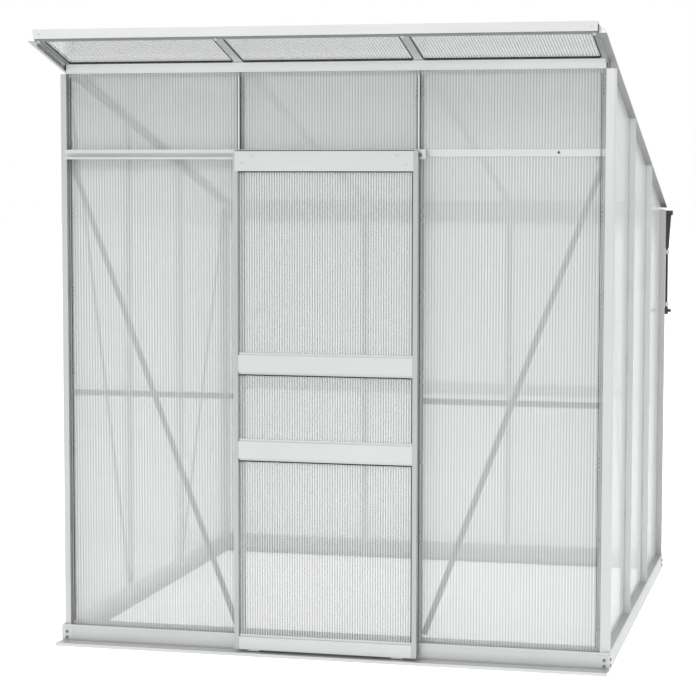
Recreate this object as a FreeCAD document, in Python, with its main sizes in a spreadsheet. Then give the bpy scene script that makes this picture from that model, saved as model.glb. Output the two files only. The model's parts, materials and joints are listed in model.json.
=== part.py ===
# Lean-to greenhouse with a pent roof: an aluminium frame on a base rail, twin-wall
# panels held between upstanding fins, and a door that slides along the tall front wall.
# The origin is the centre of the footprint on the floor. The front faces -Y and +Z is up.
import FreeCAD, Part
import math
import os
import re

import Sketcher
from FreeCAD import Placement, Rotation, Vector

doc = FreeCAD.newDocument("lean_to_greenhouse")
sizes = doc.addObject("Spreadsheet::Sheet", "Sizes")
sub_parts = []


# Driving dimensions, in millimetres and degrees
DIMENSIONS = {
    # House
    "bay_pitch": 620,
    "corner_set": 30,
    "front_wall_top": 2014,
    "top_rail_crown": 1.5,
    "roof_angle": 14.54,
    "front_overhang": 288,
    "rear_overhang": 25,
    "seat_gap": 0.3,
    "cut_slack": 5,
    # Metal sections
    "metal_thick": 1.6,
    "fin_deep": 21,
    "flange_half": 14.5,
    "channel_half": 6,
    "channel_deep": 10,
    "channel_lip": 3,
    "post_flange": 15,
    "post_nose_in": 7,
    "post_nose_back": 9.5,
    "post_nose_step": 2.5,
    "gable_fin_drop": 33,
    "gable_skirt": 14,
    "skirt_set_back": 26,
    # Panels
    "panel_thick": 4,
    "panel_play": 0.3,
    "panel_side_gap": 1,
    # Base
    "base_tall": 63,
    "base_flange": 36,
    "base_upstand": 15,
    "groove_drop": 8,
    "groove_tall": 1.4,
    "groove_deep": 0.8,
    "anchor_hole_radius": 4.5,
    "anchor_end_set": 160,
    "anchor_set": 20,
    "corner_plate_leg": 42,
    "corner_plate_thick": 1.2,
    "corner_plate_low": 12,
    "corner_plate_high": 53,
    "corner_bolt_set": 17,
    "corner_bolt_low": 18,
    "corner_bolt_high": 38,
    "bolt_neck_half": 3,
    "bolt_neck_play": 0.2,
    "nut_across_flats": 10,
    "nut_thick": 2.5,
    "bolt_length": 9,
    # Door sill
    "sill_deep": 68,
    "sill_front_tall": 11,
    "sill_back_tall": 9,
    "guide_groove_front": 9,
    "guide_groove_back": 2,
    "guide_groove_floor": 3,
    # Rails of the front wall
    "top_rail_tall": 32,
    "top_rail_deep": 40,
    "rail_bead": 2,
    "rail_bead_tall": 3,
    "panel_lap": 14,
    "head_rail_middle": 1710,
    "head_rail_tall": 24,
    "head_rail_thick": 2.2,
    "mid_rail_top": 890,
    "mid_rail_tall": 20,
    "mid_rail_deep": 10,
    "brace_wide": 20,
    "brace_thick": 1.5,
    "front_brace_top_drop": 38,
    "front_brace_foot_rise": 25,
    "front_brace_top_set": 46,
    "front_brace_bottom_set": 20,
    "gusset_leg": 38,
    # Braces of the side walls
    "side_brace_top_drop": 42,
    "side_brace_foot_rise": 100,
    "side_brace_post_set": 43,
    "side_brace_bar_set": 18,
    # Rear wall
    "eave_tall": 43.5,
    "eave_deep": 40,
    "eave_lap": 34,
    "gutter_wide": 50,
    "gutter_tall": 23,
    "gutter_lip": 4,
    "gutter_end_set": 15,
    "rear_rail_top": 756,
    "rear_rail_tall": 43,
    # Fascia
    "fascia_tall": 31,
    "fascia_drop": 7,
    "fascia_return": 22,
    "fascia_lip": 23,
    "fascia_end_set": 26,
    "bar_set_back": 26,
    # Rainwater outlet and hose
    "outlet_long": 37,
    "funnel_set": 16,
    "outlet_tall": 18.5,
    "outlet_wall": 2,
    "funnel_top_half": 15,
    "funnel_foot_half": 7,
    "funnel_tall": 139,
    "spigot_long": 38,
    "hose_radius": 5,
    "hose_wall": 1.5,
    "hose_seat_drop": 2,
    "hose_long": 238,
    "spigot_play": 0.1,
    "clamp_thick": 1.2,
    "clamp_tall": 16,
    "upper_clamp_drop": 20,
    "lower_clamp_rise": 3,
    "elbow_radius": 8,
    "elbow_tall": 31,
    "elbow_axis_drop": 16,
    "elbow_reach": 19,
    "elbow_bore": 3.5,
    "elbow_chamfer": 4,
    "elbow_insert": 28,
    "spout_radius": 6.4,
    # Door
    "door_overlap": 15,
    "door_centre": -1.5,
    "door_bottom": 18,
    "door_over_track": 27,
    "door_front": 40,
    "door_thick": 20,
    "stile_wide": 16,
    "stile_rib": 8,
    "door_panel_set": 8,
    "rail_rib": 8,
    "bottom_rail_tall": 44,
    "lower_rail_bottom": 677,
    "upper_rail_bottom": 971,
    "door_rail_tall": 58,
    "head_box_tall": 50,
    "cover_tall": 67,
    "cover_thick": 2,
    "cover_short": 20,
    "cover_shift": -4,
    # Door track and wheels
    "track_past_bar": 15,
    "track_tall": 33,
    "track_drop": 21,
    "track_deep": 15,
    "track_lower_lip": 8,
    "track_upper_lip": 13,
    "stop_long": 10,
    "stop_chamfer": 3,
    "wheel_end_set": 68.5,
    "wheel_radius": 10.5,
    "wheel_wide": 6,
    "wheel_back": 5,
    "axle_radius": 3,
    "axle_play": 0.08,
    "axle_head_radius": 5.5,
    "axle_head_thick": 2,
    "axle_collar_radius": 5,
    "axle_collar_thick": 1,
    "guide_wide": 40,
    "guide_thick": 5,
    "guide_foot": 4,
    "guide_foot_bottom": 4.5,
    "guide_end_set": 67.5,
    "guide_play": 1.5,
    # Wire clips
    "wire_radius": 1,
    "clip_tall": 60,
    "clip_spacing": 270,
}

for row, (alias, value) in enumerate(DIMENSIONS.items(), start=1):
    sizes.set(f"A{row}", alias)
    sizes.set(f"B{row}", str(value))
    sizes.setAlias(f"B{row}", alias)
doc.recompute()

# Formulas that several pieces share
HALF = "(bay_pitch * 1.5 + corner_set)"
FLANGE_FACE = "(fin_deep + panel_thick + panel_play)"
FLANGE_BACK = f"({FLANGE_FACE} + metal_thick)"
PANEL_BACK = "(fin_deep + panel_thick)"
SLOPE = "tan(roof_angle)"
STEEP = "cos(roof_angle)"
ROOF_TIPS = f"(front_wall_top + top_rail_crown + {FLANGE_BACK} / {STEEP})"
INNER_BAR = "(bay_pitch / 2)"
POST_FLANGE_END = "(corner_set + post_flange)"
BETWEEN_POSTS = f"({HALF} - corner_set - metal_thick - seat_gap)"
LAP_END = f"({HALF} - {POST_FLANGE_END} - seat_gap)"
TOP_RAIL_BOTTOM = "(front_wall_top - top_rail_tall)"
HEAD_RAIL_BOTTOM = "(head_rail_middle - head_rail_tall / 2)"
MID_RAIL_FACE = f"({FLANGE_BACK} + brace_thick)"
EAVE_BOTTOM = f"({ROOF_TIPS} - {FLANGE_BACK} / {STEEP} - {SLOPE} * 2 * {HALF} - eave_tall)"
GUTTER_END = f"({HALF} - gutter_end_set)"
FASCIA_END = f"({HALF} - fascia_end_set)"
OUTLET_X = f"({GUTTER_END} + funnel_set)"
OUTLET_Y = f"({HALF} + gutter_wide / 2)"
FUNNEL_FOOT = f"({EAVE_BOTTOM} - funnel_tall)"
HOSE_TOP = f"({FUNNEL_FOOT} - hose_seat_drop)"
HOSE_BOTTOM = f"({HOSE_TOP} - hose_long)"
HOSE_BORE = "(hose_radius - hose_wall)"
SPIGOT = f"({HOSE_BORE} - spigot_play)"
ELBOW_AXIS = f"({HOSE_BOTTOM} - elbow_axis_drop)"
TRACK_BOTTOM = "(head_rail_middle - track_drop)"
TRACK_TOP = f"({TRACK_BOTTOM} + track_tall)"
TRACK_FRONT = f"(-{HALF} - track_deep)"
TRACK_LEFT = f"({HALF} - corner_set)"
TRACK_RIGHT = f"({INNER_BAR} + track_past_bar)"
DOOR_WIDE = "(bay_pitch + door_overlap)"
DOOR_LEFT = f"(door_centre - {DOOR_WIDE} / 2)"
DOOR_FACE = f"({HALF} + door_front)"
DOOR_TOP = f"({TRACK_BOTTOM} + door_over_track)"
BETWEEN_STILES = f"({DOOR_WIDE} - 2 * stile_wide - 2 * seat_gap)"
STILE_INSIDE = f"({DOOR_LEFT} + stile_wide + seat_gap)"
COVER_FACE = f"({DOOR_FACE} + cover_thick)"
COVER_CENTRE = "(door_centre + cover_shift)"
COVER_HALF = f"(({DOOR_WIDE} - cover_short) / 2)"
WHEEL_HALF_SPACING = f"({DOOR_WIDE} / 2 - wheel_end_set)"
WHEEL_HEIGHT = f"({TRACK_BOTTOM} + metal_thick + seat_gap + wheel_radius)"
GUIDE_HALF_SPACING = f"({DOOR_WIDE} / 2 - guide_end_set)"

# Where the hollow of a corner section turns, in thicknesses of its metal, so that the slanted
# walls are as thick as the straight ones
HOLLOW_FRONT = 1.4
HOLLOW_WEB = 0.45
HOLLOW_FLANGE = 0.55
HOLLOW_SIDE = 1.3
HOLLOW_NOSE_IN = 0.73
HOLLOW_NOSE_BACK = 0.7


def formula(text):
    """Put the sheet's name in front of each of its words."""
    return re.sub(r"\b[a-z]+(?:_[a-z]+)+\b", lambda word: "Sizes." + word.group(), str(text))


def number(text):
    """Work a formula out now."""
    result = sizes.evalExpression(formula(text))
    return float(getattr(result, "Value", result))


def slope_height(depth_below_tips, run):
    """Height of a line that lies under the fin tips of the roof, at a run behind the front face."""
    return f"({ROOF_TIPS} - {depth_below_tips} / {STEEP} - {SLOPE} * ({run}))"


# Building blocks
def start_body(label, place=("0", "0", "0"), turn=0, tilt=False):
    """A body at its place: turned about the vertical, or tilted into the slope of the roof."""
    body = doc.addObject("PartDesign::Body", label)
    body.Label = label
    if tilt:
        body.Placement = Placement(Vector(), Rotation(Vector(-1, 0, 0), number("roof_angle")))
        body.setExpression("Placement.Rotation.Angle", formula("roof_angle"))
    else:
        body.Placement = Placement(Vector(), Rotation(Vector(0, 0, 1), turn))
    for axis, text in zip("xyz", place):
        body.setExpression(f"Placement.Base.{axis}", formula(text))
    sub_parts.append(body)
    return body


def draw(body, plane, outlines, circles=()):
    """A sketch on one of the body's own planes, each corner held by the sheet."""
    sketch = body.newObject("Sketcher::SketchObject", f"{body.Name}_sketch")
    origin = next(item for item in body.Origin.OriginFeatures if item.Role == plane + "_Plane")
    sketch.AttachmentSupport = [(origin, "")]
    sketch.MapMode = "FlatFace"
    lines = []
    held = []
    texts = []
    for outline in outlines:
        first = len(lines)
        corners = [Vector(number(u), number(v), 0) for u, v in outline]
        count = len(corners)
        for i in range(count):
            lines.append(Part.LineSegment(corners[i], corners[(i + 1) % count]))
            held.append(Sketcher.Constraint("Coincident", first + i, 2, first + (i + 1) % count, 1))
            texts.append(None)
        for i, corner in enumerate(outline):
            held.append(Sketcher.Constraint("DistanceX", -1, 1, first + i, 1, corners[i].x))
            held.append(Sketcher.Constraint("DistanceY", -1, 1, first + i, 1, corners[i].y))
            texts.extend(corner)
    for u, v, radius in circles:
        middle = Vector(number(u), number(v), 0)
        held.append(Sketcher.Constraint("DistanceX", -1, 1, len(lines), 3, middle.x))
        held.append(Sketcher.Constraint("DistanceY", -1, 1, len(lines), 3, middle.y))
        held.append(Sketcher.Constraint("Radius", len(lines), number(radius)))
        texts.extend((u, v, radius))
        lines.append(Part.Circle(middle, Vector(0, 0, 1), number(radius)))
    sketch.addGeometry(lines)
    sketch.addConstraint(held)
    for i, text in enumerate(texts):
        if text is not None:
            sketch.setExpression(f"Constraints[{i}]", formula(text))
    return sketch


def pad(body, sketch, length, back=None, both=False, reverse=False):
    """Stretch a sketch along its normal, and the other way too where back is given."""
    feature = body.newObject("PartDesign::Pad", f"{body.Name}_pad")
    feature.Profile = sketch
    feature.Reversed = reverse
    if both:
        feature.SideType = "Symmetric"
    if back is not None:
        feature.SideType = "Two sides"
        feature.setExpression("Length2", formula(back))
    feature.setExpression("Length", formula(length))
    return feature


def cut(body, sketch, length=None, reverse=False):
    """Cut a sketch out of the body: right through, or from its plane to a length."""
    feature = body.newObject("PartDesign::Pocket", f"{body.Name}_cut")
    feature.Profile = sketch
    feature.Reversed = reverse
    if length is None:
        feature.SideType = "Symmetric"
        feature.Type = "ThroughAll"
    else:
        feature.setExpression("Length", formula(length))
    return feature


def rectangle(u_low, u_high, v_low, v_high):
    return [(u_low, v_low), (u_high, v_low), (u_high, v_high), (u_low, v_high)]


def ways(values):
    """Pair each word for a side with its sign."""
    return zip(values, (-1, 1))


# Sections
def glazing_outline(channel=True):
    """Fin, flange and, where asked, the bolt channel behind the flange."""
    half_web = "metal_thick / 2"
    right = [(half_web, "0"), (half_web, FLANGE_FACE), ("flange_half", FLANGE_FACE)]
    right.append(("flange_half", FLANGE_BACK))
    if channel:
        back = f"{FLANGE_BACK} + channel_deep"
        right += [("channel_half", FLANGE_BACK), ("channel_half", back), ("channel_lip", back)]
        right.append(("channel_lip", f"{back} - metal_thick"))
        right.append(("channel_half - metal_thick", f"{back} - metal_thick"))
        right.append(("channel_half - metal_thick", FLANGE_BACK))
    left = [(f"-({u})", v) for u, v in reversed(right)]
    return right + left


def corner_outlines(side, down, drop, skirt):
    """Hollow corner section with a fin and a flange for each of the two walls that meet.

    The first coordinate runs inward from the side face and the second inward from the front
    or down from the roof. The slanted face between the fin tips has two facets.
    """
    thick = "metal_thick"
    outer = [
        ("corner_set", "0"),
        (f"corner_set + {thick}", "0"),
        (f"corner_set + {thick}", FLANGE_FACE),
        (POST_FLANGE_END, FLANGE_FACE),
        (POST_FLANGE_END, FLANGE_BACK),
        (f"corner_set + {thick}", FLANGE_BACK),
        (FLANGE_BACK, f"{drop} + {thick}"),
        (FLANGE_BACK, f"{drop} + {skirt}"),
        (FLANGE_FACE, f"{drop} + {skirt}"),
        (FLANGE_FACE, f"{drop} + {thick}"),
        ("0", f"{drop} + {thick}"),
        ("0", drop),
        ("post_nose_in", f"{drop} - post_nose_back"),
        ("corner_set", "post_nose_step"),
    ]
    nose_in = f"post_nose_in + {HOLLOW_NOSE_IN} * {thick}"
    nose_back = f"{drop} - post_nose_back + {HOLLOW_NOSE_BACK} * {thick}"
    hollow = [
        ("corner_set", f"post_nose_step + {HOLLOW_FRONT} * {thick}"),
        ("corner_set", f"{FLANGE_BACK} - {HOLLOW_WEB} * {thick}"),
        (f"{FLANGE_BACK} - {HOLLOW_FLANGE} * {thick}", drop),
        (f"{HOLLOW_SIDE} * {thick}", drop),
        (nose_in, nose_back),
    ]
    return [[(f"{side} * ({u})", f"{down} * ({v})") for u, v in ring] for ring in (outer, hollow)]


def strip_outline(start, end, wide):
    """Flat strip between two points."""
    (u0, v0), (u1, v1) = start, end
    run = f"(({u1}) - ({u0}))"
    rise = f"(({v1}) - ({v0}))"
    share = f"({wide} / 2 / sqrt({run} ^ 2 + {rise} ^ 2))"
    corners = []
    for (u, v), sign in ((start, 1), (end, 1), (end, -1), (start, -1)):
        corners.append((f"({u}) - {sign} * {rise} * {share}", f"({v}) + {sign} * {run} * {share}"))
    return corners


# Base
def make_base_rails():
    """Four equal rails, mitred at the corners, with a ledge and upstand for the panels."""
    outline = [
        (f"-{HALF}", "0"),
        (f"-{HALF} + base_flange", "0"),
        (f"-{HALF} + base_flange", "metal_thick"),
        (f"-{HALF} + metal_thick", "metal_thick"),
        (f"-{HALF} + metal_thick", "base_tall - metal_thick"),
        (f"-{HALF} + {FLANGE_BACK}", "base_tall - metal_thick"),
        (f"-{HALF} + {FLANGE_BACK}", "base_tall + base_upstand"),
        (f"-{HALF} + {FLANGE_FACE}", "base_tall + base_upstand"),
        (f"-{HALF} + {FLANGE_FACE}", "base_tall"),
        (f"-{HALF}", "base_tall"),
        (f"-{HALF}", "base_tall - groove_drop"),
        (f"-{HALF} + groove_deep", "base_tall - groove_drop"),
        (f"-{HALF} + groove_deep", "base_tall - groove_drop - groove_tall"),
        (f"-{HALF}", "base_tall - groove_drop - groove_tall"),
    ]
    names = (("base_front", 0), ("base_right", 90), ("base_rear", 180), ("base_left", 270))
    for label, turn in names:
        body = start_body(label, turn=turn)
        pad(body, draw(body, "YZ", [outline]), f"2 * {HALF}", both=True)
        reach = "(base_flange + cut_slack)"
        mitres = []
        for sign in ("-1", "1"):
            mitres.append([
                (f"{sign} * {HALF}", f"-{HALF}"),
                (f"{sign} * ({HALF} - {reach})", f"-{HALF} + {reach}"),
                (f"{sign} * ({HALF} + cut_slack)", f"-{HALF} + {reach}"),
                (f"{sign} * ({HALF} + cut_slack)", f"-{HALF}"),
            ])
        cut(body, draw(body, "XY", mitres))
        upstand = ("base_tall", "base_tall + base_upstand + cut_slack")
        trims = [rectangle(LAP_END, f"{HALF} + cut_slack", *upstand)]
        trims.append(rectangle(f"-{HALF} - cut_slack", f"-{LAP_END}", *upstand))
        cut(body, draw(body, "XZ", trims))
        cut(body, draw(body, "XZ", bolt_squares("0")))
        if label in ("base_front", "base_rear"):
            anchors = []
            for sign in ("-", ""):
                across = f"{sign}({HALF} - anchor_end_set)"
                anchors.append((across, f"-{HALF} + anchor_set", "anchor_hole_radius"))
            cut(body, draw(body, "XY", [], anchors))


def bolt_squares(floor):
    """Square holes for the necks of the corner bolts, near both ends of a wall."""
    half = "(bolt_neck_half + bolt_neck_play)"
    squares = []
    for side in ("-", ""):
        at = f"{side}({HALF} - corner_bolt_set)"
        for level in ("corner_bolt_low", "corner_bolt_high"):
            rise = (f"{level} - {floor} - {half}", f"{level} - {floor} + {half}")
            squares.append(rectangle(f"{at} - {half}", f"{at} + {half}", *rise))
    return squares


def corner_plate_outline(side, end):
    """Angle that wraps one corner of the base, seen from above."""
    corner = f"{HALF}"
    outside = f"({HALF} + corner_plate_thick)"
    leg = f"({HALF} - corner_plate_leg)"
    outline = [(leg, corner), (leg, outside), (outside, outside), (outside, leg), (corner, leg)]
    outline.append((corner, corner))
    return [(f"{side} * {u}", f"{end} * {v}") for u, v in outline]


def make_corner_plates():
    body = start_body("base_corner_plates", place=("0", "0", "corner_plate_low"))
    outlines = [corner_plate_outline(side, end) for side in (-1, 1) for end in (-1, 1)]
    pad(body, draw(body, "XY", outlines), "corner_plate_high - corner_plate_low")
    for plane in ("XZ", "YZ"):
        cut(body, draw(body, plane, bolt_squares("corner_plate_low")))


def add_shape(label, solids):
    """Keep small turned pieces of one kind as separate solids of one sub-part."""
    feature = doc.addObject("Part::Feature", label)
    feature.Label = label
    feature.Shape = solids[0] if len(solids) == 1 else Part.makeCompound(solids)
    feature.Placement = Placement()
    sub_parts.append(feature)
    return feature


def coach_bolt(seat):
    """Hexagonal nut in front of its seat, which faces the front, and the bolt's square neck behind it."""
    half = number("bolt_neck_half")
    neck = Part.makeBox(2 * half, number("bolt_length"), 2 * half, seat - Vector(half, 0, half))
    corners = []
    for turn in range(7):
        arm = Vector(number("nut_across_flats") / math.sqrt(3), 0, 0)
        corners.append(seat + Rotation(Vector(0, 1, 0), turn * 60).multVec(arm))
    nut = Part.Face(Part.makePolygon(corners)).extrude(Vector(0, -number("nut_thick"), 0))
    return neck.fuse(nut)


def make_corner_bolts():
    """Bolts through the corner plates and the base rails."""
    face = number(f"{HALF} + corner_plate_thick")
    at = number(f"{HALF} - corner_bolt_set")
    bolts = []
    for turn in range(4):
        for side in (-1, 1):
            for level in ("corner_bolt_low", "corner_bolt_high"):
                bolt = coach_bolt(Vector(side * at, -face, number(level)))
                bolt.rotate(Vector(), Vector(0, 0, 1), 90 * turn)
                bolts.append(bolt)
    add_shape("base_corner_bolts", bolts)


def make_sill():
    """Sloping sill along the front with a groove for the door's guides."""
    front = f"(-{HALF} - sill_deep)"
    groove_front = f"(-{HALF} - guide_groove_front)"
    groove_back = f"(-{HALF} - guide_groove_back)"
    thick = "metal_thick"
    outline = [
        (front, "0"),
        (front, "sill_front_tall"),
        (groove_front, "sill_back_tall"),
        (groove_front, "guide_groove_floor"),
        (groove_back, "guide_groove_floor"),
        (groove_back, "sill_back_tall"),
        (f"-{HALF}", "sill_back_tall"),
        (f"-{HALF}", "0"),
        (f"{groove_front} - {thick}", "0"),
        (f"{groove_front} - {thick}", f"sill_back_tall - {thick}"),
        (f"{front} + {thick}", f"sill_front_tall - {thick}"),
        (f"{front} + {thick}", "0"),
    ]
    body = start_body("door_sill")
    pad(body, draw(body, "YZ", [outline]), f"2 * {HALF}", both=True)


# Corner posts and glazing bars
def make_posts():
    """The tall posts end under the top rail; the short ones are notched for the eave beam."""
    front_tall = f"{TOP_RAIL_BOTTOM} - base_tall"
    skirt_end = slope_height("(gable_fin_drop + gable_skirt)", f"2 * {HALF}")
    rear_tall = f"{skirt_end} - seat_gap - base_tall"
    corners = (
        ("front_left", "-", "-", 1, 0, front_tall),
        ("front_right", "", "-", -1, 0, front_tall),
        ("rear_left", "-", "", -1, 180, rear_tall),
        ("rear_right", "", "", 1, 180, rear_tall),
    )
    for name, side, end, hand, turn, tall in corners:
        place = (f"{side}{HALF}", f"{end}{HALF}", "base_tall")
        body = start_body(f"corner_post_{name}", place=place, turn=turn)
        outlines = corner_outlines(hand, 1, "corner_set", "post_flange")
        pad(body, draw(body, "XY", outlines), tall)
        if name.startswith("rear"):
            inner = (f"{hand} * (corner_set - seat_gap)", f"{hand} * ({POST_FLANGE_END} + cut_slack)")
            seat = rectangle(*inner, f"{EAVE_BOTTOM} - base_tall", f"{tall} + cut_slack")
            cut(body, draw(body, "XZ", [seat]))


def make_glazing_bar(label, place, turn, tall, top_notch, stations=("0",)):
    """Upright bars; their flanges stop short where the base and the head carry their own."""
    body = start_body(label, place=place, turn=turn)
    outlines = [[(f"{at} + {u}", v) for u, v in glazing_outline()] for at in stations]
    pad(body, draw(body, "XY", outlines), tall)
    front = f"{PANEL_BACK}"
    back = f"{FLANGE_BACK} + seat_gap"
    foot = rectangle(front, back, "-cut_slack", "base_upstand + seat_gap")
    head = rectangle(front, back, f"{tall} - {top_notch} - seat_gap", f"{tall} + cut_slack")
    cut(body, draw(body, "YZ", [foot, head]))


def make_bars():
    front_tall = f"({TOP_RAIL_BOTTOM} - base_tall)"
    rear_tall = f"({EAVE_BOTTOM} - base_tall)"
    rear_place = ("0", HALF, "base_tall")
    rear_bars = (f"-{INNER_BAR}", INNER_BAR)
    make_glazing_bar("rear_bars", rear_place, 180, rear_tall, "eave_lap", rear_bars)
    for side, sign in ways(("left", "right")):
        at = f"{sign} * {INNER_BAR}"
        place = (at, f"-{HALF}", "base_tall")
        make_glazing_bar(f"front_bar_{side}", place, 0, front_tall, "panel_lap")
        for row, place in ways(("front", "rear")):
            run = f"({HALF} + {place} * {INNER_BAR})"
            fin_end = slope_height("(gable_fin_drop + metal_thick)", f"{run} + channel_half")
            skirt_end = slope_height("(gable_fin_drop + gable_skirt)", f"{run} + flange_half")
            tall = f"({fin_end} - seat_gap - base_tall)"
            body_place = (f"{sign} * {HALF}", f"{place} * {INNER_BAR}", "base_tall")
            label = f"side_bar_{side}_{row}"
            make_glazing_bar(label, body_place, 90 * sign, tall, f"({fin_end} - {skirt_end})")


# Rails and braces of the front wall
def make_top_rail():
    """Box rail with beads along its face, a sloped back for the roof and a lap for the panels."""
    front = f"-{HALF}"
    thick = "metal_thick"
    def top(depth):
        return f"{slope_height(FLANGE_BACK, depth)} - seat_gap / 2"
    outline = [
        (front, TOP_RAIL_BOTTOM),
        (front, f"{TOP_RAIL_BOTTOM} + rail_bead_tall"),
        (f"{front} + rail_bead", f"{TOP_RAIL_BOTTOM} + rail_bead_tall"),
        (f"{front} + rail_bead", "front_wall_top - rail_bead_tall"),
        (front, "front_wall_top - rail_bead_tall"),
        (front, "front_wall_top"),
        (f"{front} + rail_bead", top("rail_bead")),
        (f"{front} + top_rail_deep", top("top_rail_deep")),
        (f"{front} + top_rail_deep", TOP_RAIL_BOTTOM),
        (f"{front} + {FLANGE_BACK}", TOP_RAIL_BOTTOM),
        (f"{front} + {FLANGE_BACK}", f"{TOP_RAIL_BOTTOM} - panel_lap"),
        (f"{front} + {FLANGE_FACE}", f"{TOP_RAIL_BOTTOM} - panel_lap"),
        (f"{front} + {FLANGE_FACE}", TOP_RAIL_BOTTOM),
    ]
    inside_front = f"{front} + rail_bead + {thick}"
    inside_back = f"{front} + top_rail_deep - {thick}"
    hollow = [
        (inside_front, f"{TOP_RAIL_BOTTOM} + {thick}"),
        (inside_front, f"{top(f'(rail_bead + {thick})')} - {thick}"),
        (inside_back, f"{top(f'(top_rail_deep - {thick})')} - {thick}"),
        (inside_back, f"{TOP_RAIL_BOTTOM} + {thick}"),
    ]
    body = start_body("top_rail")
    pad(body, draw(body, "YZ", [outline, hollow]), f"2 * {BETWEEN_POSTS}", both=True)
    lap = (f"{TOP_RAIL_BOTTOM} - panel_lap - cut_slack", TOP_RAIL_BOTTOM)
    trims = [rectangle(LAP_END, HALF, *lap), rectangle(f"-{HALF}", f"-{LAP_END}", *lap)]
    cut(body, draw(body, "XZ", trims))


def bay_ends(gap):
    """Clear run of each bay between the fins, as pairs of ends from left to right."""
    post_fin = f"({HALF} - corner_set - metal_thick - {gap})"
    bar_fin_out = f"({INNER_BAR} + metal_thick / 2 + {gap})"
    bar_fin_in = f"({INNER_BAR} - metal_thick / 2 - {gap})"
    left = (f"-{post_fin}", f"-{bar_fin_out}")
    return (left, (f"-{bar_fin_in}", bar_fin_in), (bar_fin_out, post_fin))


def make_head_rails():
    """Tee rails over the door and beside it, between the upper and the lower panels."""
    body = start_body("head_rails")
    low = "head_rail_middle - head_rail_tall / 2"
    face = f"-{HALF} + fin_deep - head_rail_thick"
    plate = [rectangle(u0, u1, low, f"{low} + head_rail_tall") for u0, u1 in bay_ends("seat_gap")]
    web_low = "head_rail_middle - metal_thick / 2"
    web = [rectangle(u0, u1, web_low, f"{web_low} + metal_thick") for u0, u1 in bay_ends("seat_gap")]
    body.setExpression("Placement.Base.y", formula(face))
    pad(body, draw(body, "XZ", plate), "head_rail_thick", reverse=True)
    pad(body, draw(body, "XZ", web), f"head_rail_thick + {FLANGE_FACE} - fin_deep", reverse=True)


def make_front_mid_rails():
    """Angles across the two fixed bays, behind the braces."""
    front = f"-{HALF} + {MID_RAIL_FACE}"
    low = "mid_rail_top - mid_rail_tall"
    thick = "metal_thick"
    outline = [
        (front, low),
        (f"{front} + {thick}", low),
        (f"{front} + {thick}", f"mid_rail_top - {thick}"),
        (f"{front} + mid_rail_deep", f"mid_rail_top - {thick}"),
        (f"{front} + mid_rail_deep", "mid_rail_top"),
        (front, "mid_rail_top"),
    ]
    inner = f"({INNER_BAR} + channel_half + seat_gap)"
    body = start_body("front_mid_rails")
    for start in (f"-{BETWEEN_POSTS}", inner):
        sketch = draw(body, "YZ", [outline])
        sketch.setExpression("AttachmentOffset.Base.z", formula(start))
        pad(body, sketch, f"{BETWEEN_POSTS} - {inner}")


def make_front_braces():
    """Flat strips from the head of each corner post to the foot of the bar by the door."""
    body = start_body("front_braces", place=("0", f"-{HALF} + {FLANGE_BACK}", "0"))
    strips = []
    for sign in (-1, 1):
        top_level = f"({HEAD_RAIL_BOTTOM} - front_brace_top_drop)"
        top = (f"{sign} * ({HALF} - front_brace_top_set)", top_level)
        foot_level = "(base_tall + front_brace_foot_rise)"
        foot = (f"{sign} * ({INNER_BAR} + front_brace_bottom_set)", foot_level)
        strips.append(strip_outline(top, foot, "brace_wide"))
    pad(body, draw(body, "XZ", strips), "brace_thick", reverse=True)


def make_gussets():
    """Three-cornered plates where the posts meet the top rail and the heads of the braces."""
    body = start_body("gusset_plates")
    sets = ((TOP_RAIL_BOTTOM, FLANGE_BACK, "1"), (HEAD_RAIL_BOTTOM, MID_RAIL_FACE, "2"))
    for level, depth, lengths in sets:
        plates = []
        for sign in (-1, 1):
            edge = f"{sign} * {BETWEEN_POSTS}"
            far = f"{sign} * ({BETWEEN_POSTS} - gusset_leg)"
            plates.append([(edge, level), (far, level), (edge, f"{level} - {lengths} * gusset_leg")])
        sketch = draw(body, "XZ", plates)
        sketch.setExpression("AttachmentOffset.Base.z", formula(f"{HALF} - {depth}"))
        pad(body, sketch, "brace_thick", reverse=True)


def make_side_braces():
    """Strips behind the panels of each side wall, in the front bay and in the rear bay."""
    under = "(gable_fin_drop + gable_skirt)"
    for side, sign in ways(("left", "right")):
        place = (f"{sign} * ({HALF} - {FLANGE_BACK})", "0", "0")
        body = start_body(f"side_braces_{side}", place=place)
        strips = []
        for end in (-1, 1):
            top_at = f"{end} * ({HALF} - side_brace_post_set)"
            top_level = f"{slope_height(under, f'{HALF} + {top_at}')} - side_brace_top_drop"
            foot_at = f"{end} * ({INNER_BAR} + side_brace_bar_set)"
            foot_level = "side_brace_foot_rise"
            strips.append(strip_outline((top_at, top_level), (foot_at, foot_level), "brace_wide"))
        pad(body, draw(body, "YZ", strips), "brace_thick", reverse=(sign == 1))


# Roof
def roof_place(x="0"):
    return (x, f"-{HALF}", ROOF_TIPS)


def make_gable_bars():
    """Corner sections along the two slopes; their skirts are set back at both ends."""
    rear = f"((2 * {HALF} + rear_overhang) / {STEEP})"
    front = f"((front_overhang - bar_set_back) / {STEEP})"
    for side, sign in ways(("left", "right")):
        body = start_body(f"gable_bar_{side}", place=roof_place(f"{sign} * {HALF}"), tilt=True)
        outlines = corner_outlines(-sign, -1, "gable_fin_drop", "gable_skirt")
        pad(body, draw(body, "XZ", outlines), front, back=rear)
        drop = "-gable_fin_drop - metal_thick"
        far = "-gable_fin_drop - gable_skirt - cut_slack"
        rear_skirt = f"(2 * {HALF} - {POST_FLANGE_END} - seat_gap) / {STEEP} - skirt_set_back"
        trims = [rectangle(rear_skirt, f"{rear} + cut_slack", far, drop)]
        trims.append(rectangle(f"-{front} - cut_slack", f"-{front} + skirt_set_back", far, drop))
        cut(body, draw(body, "YZ", trims))


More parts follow.
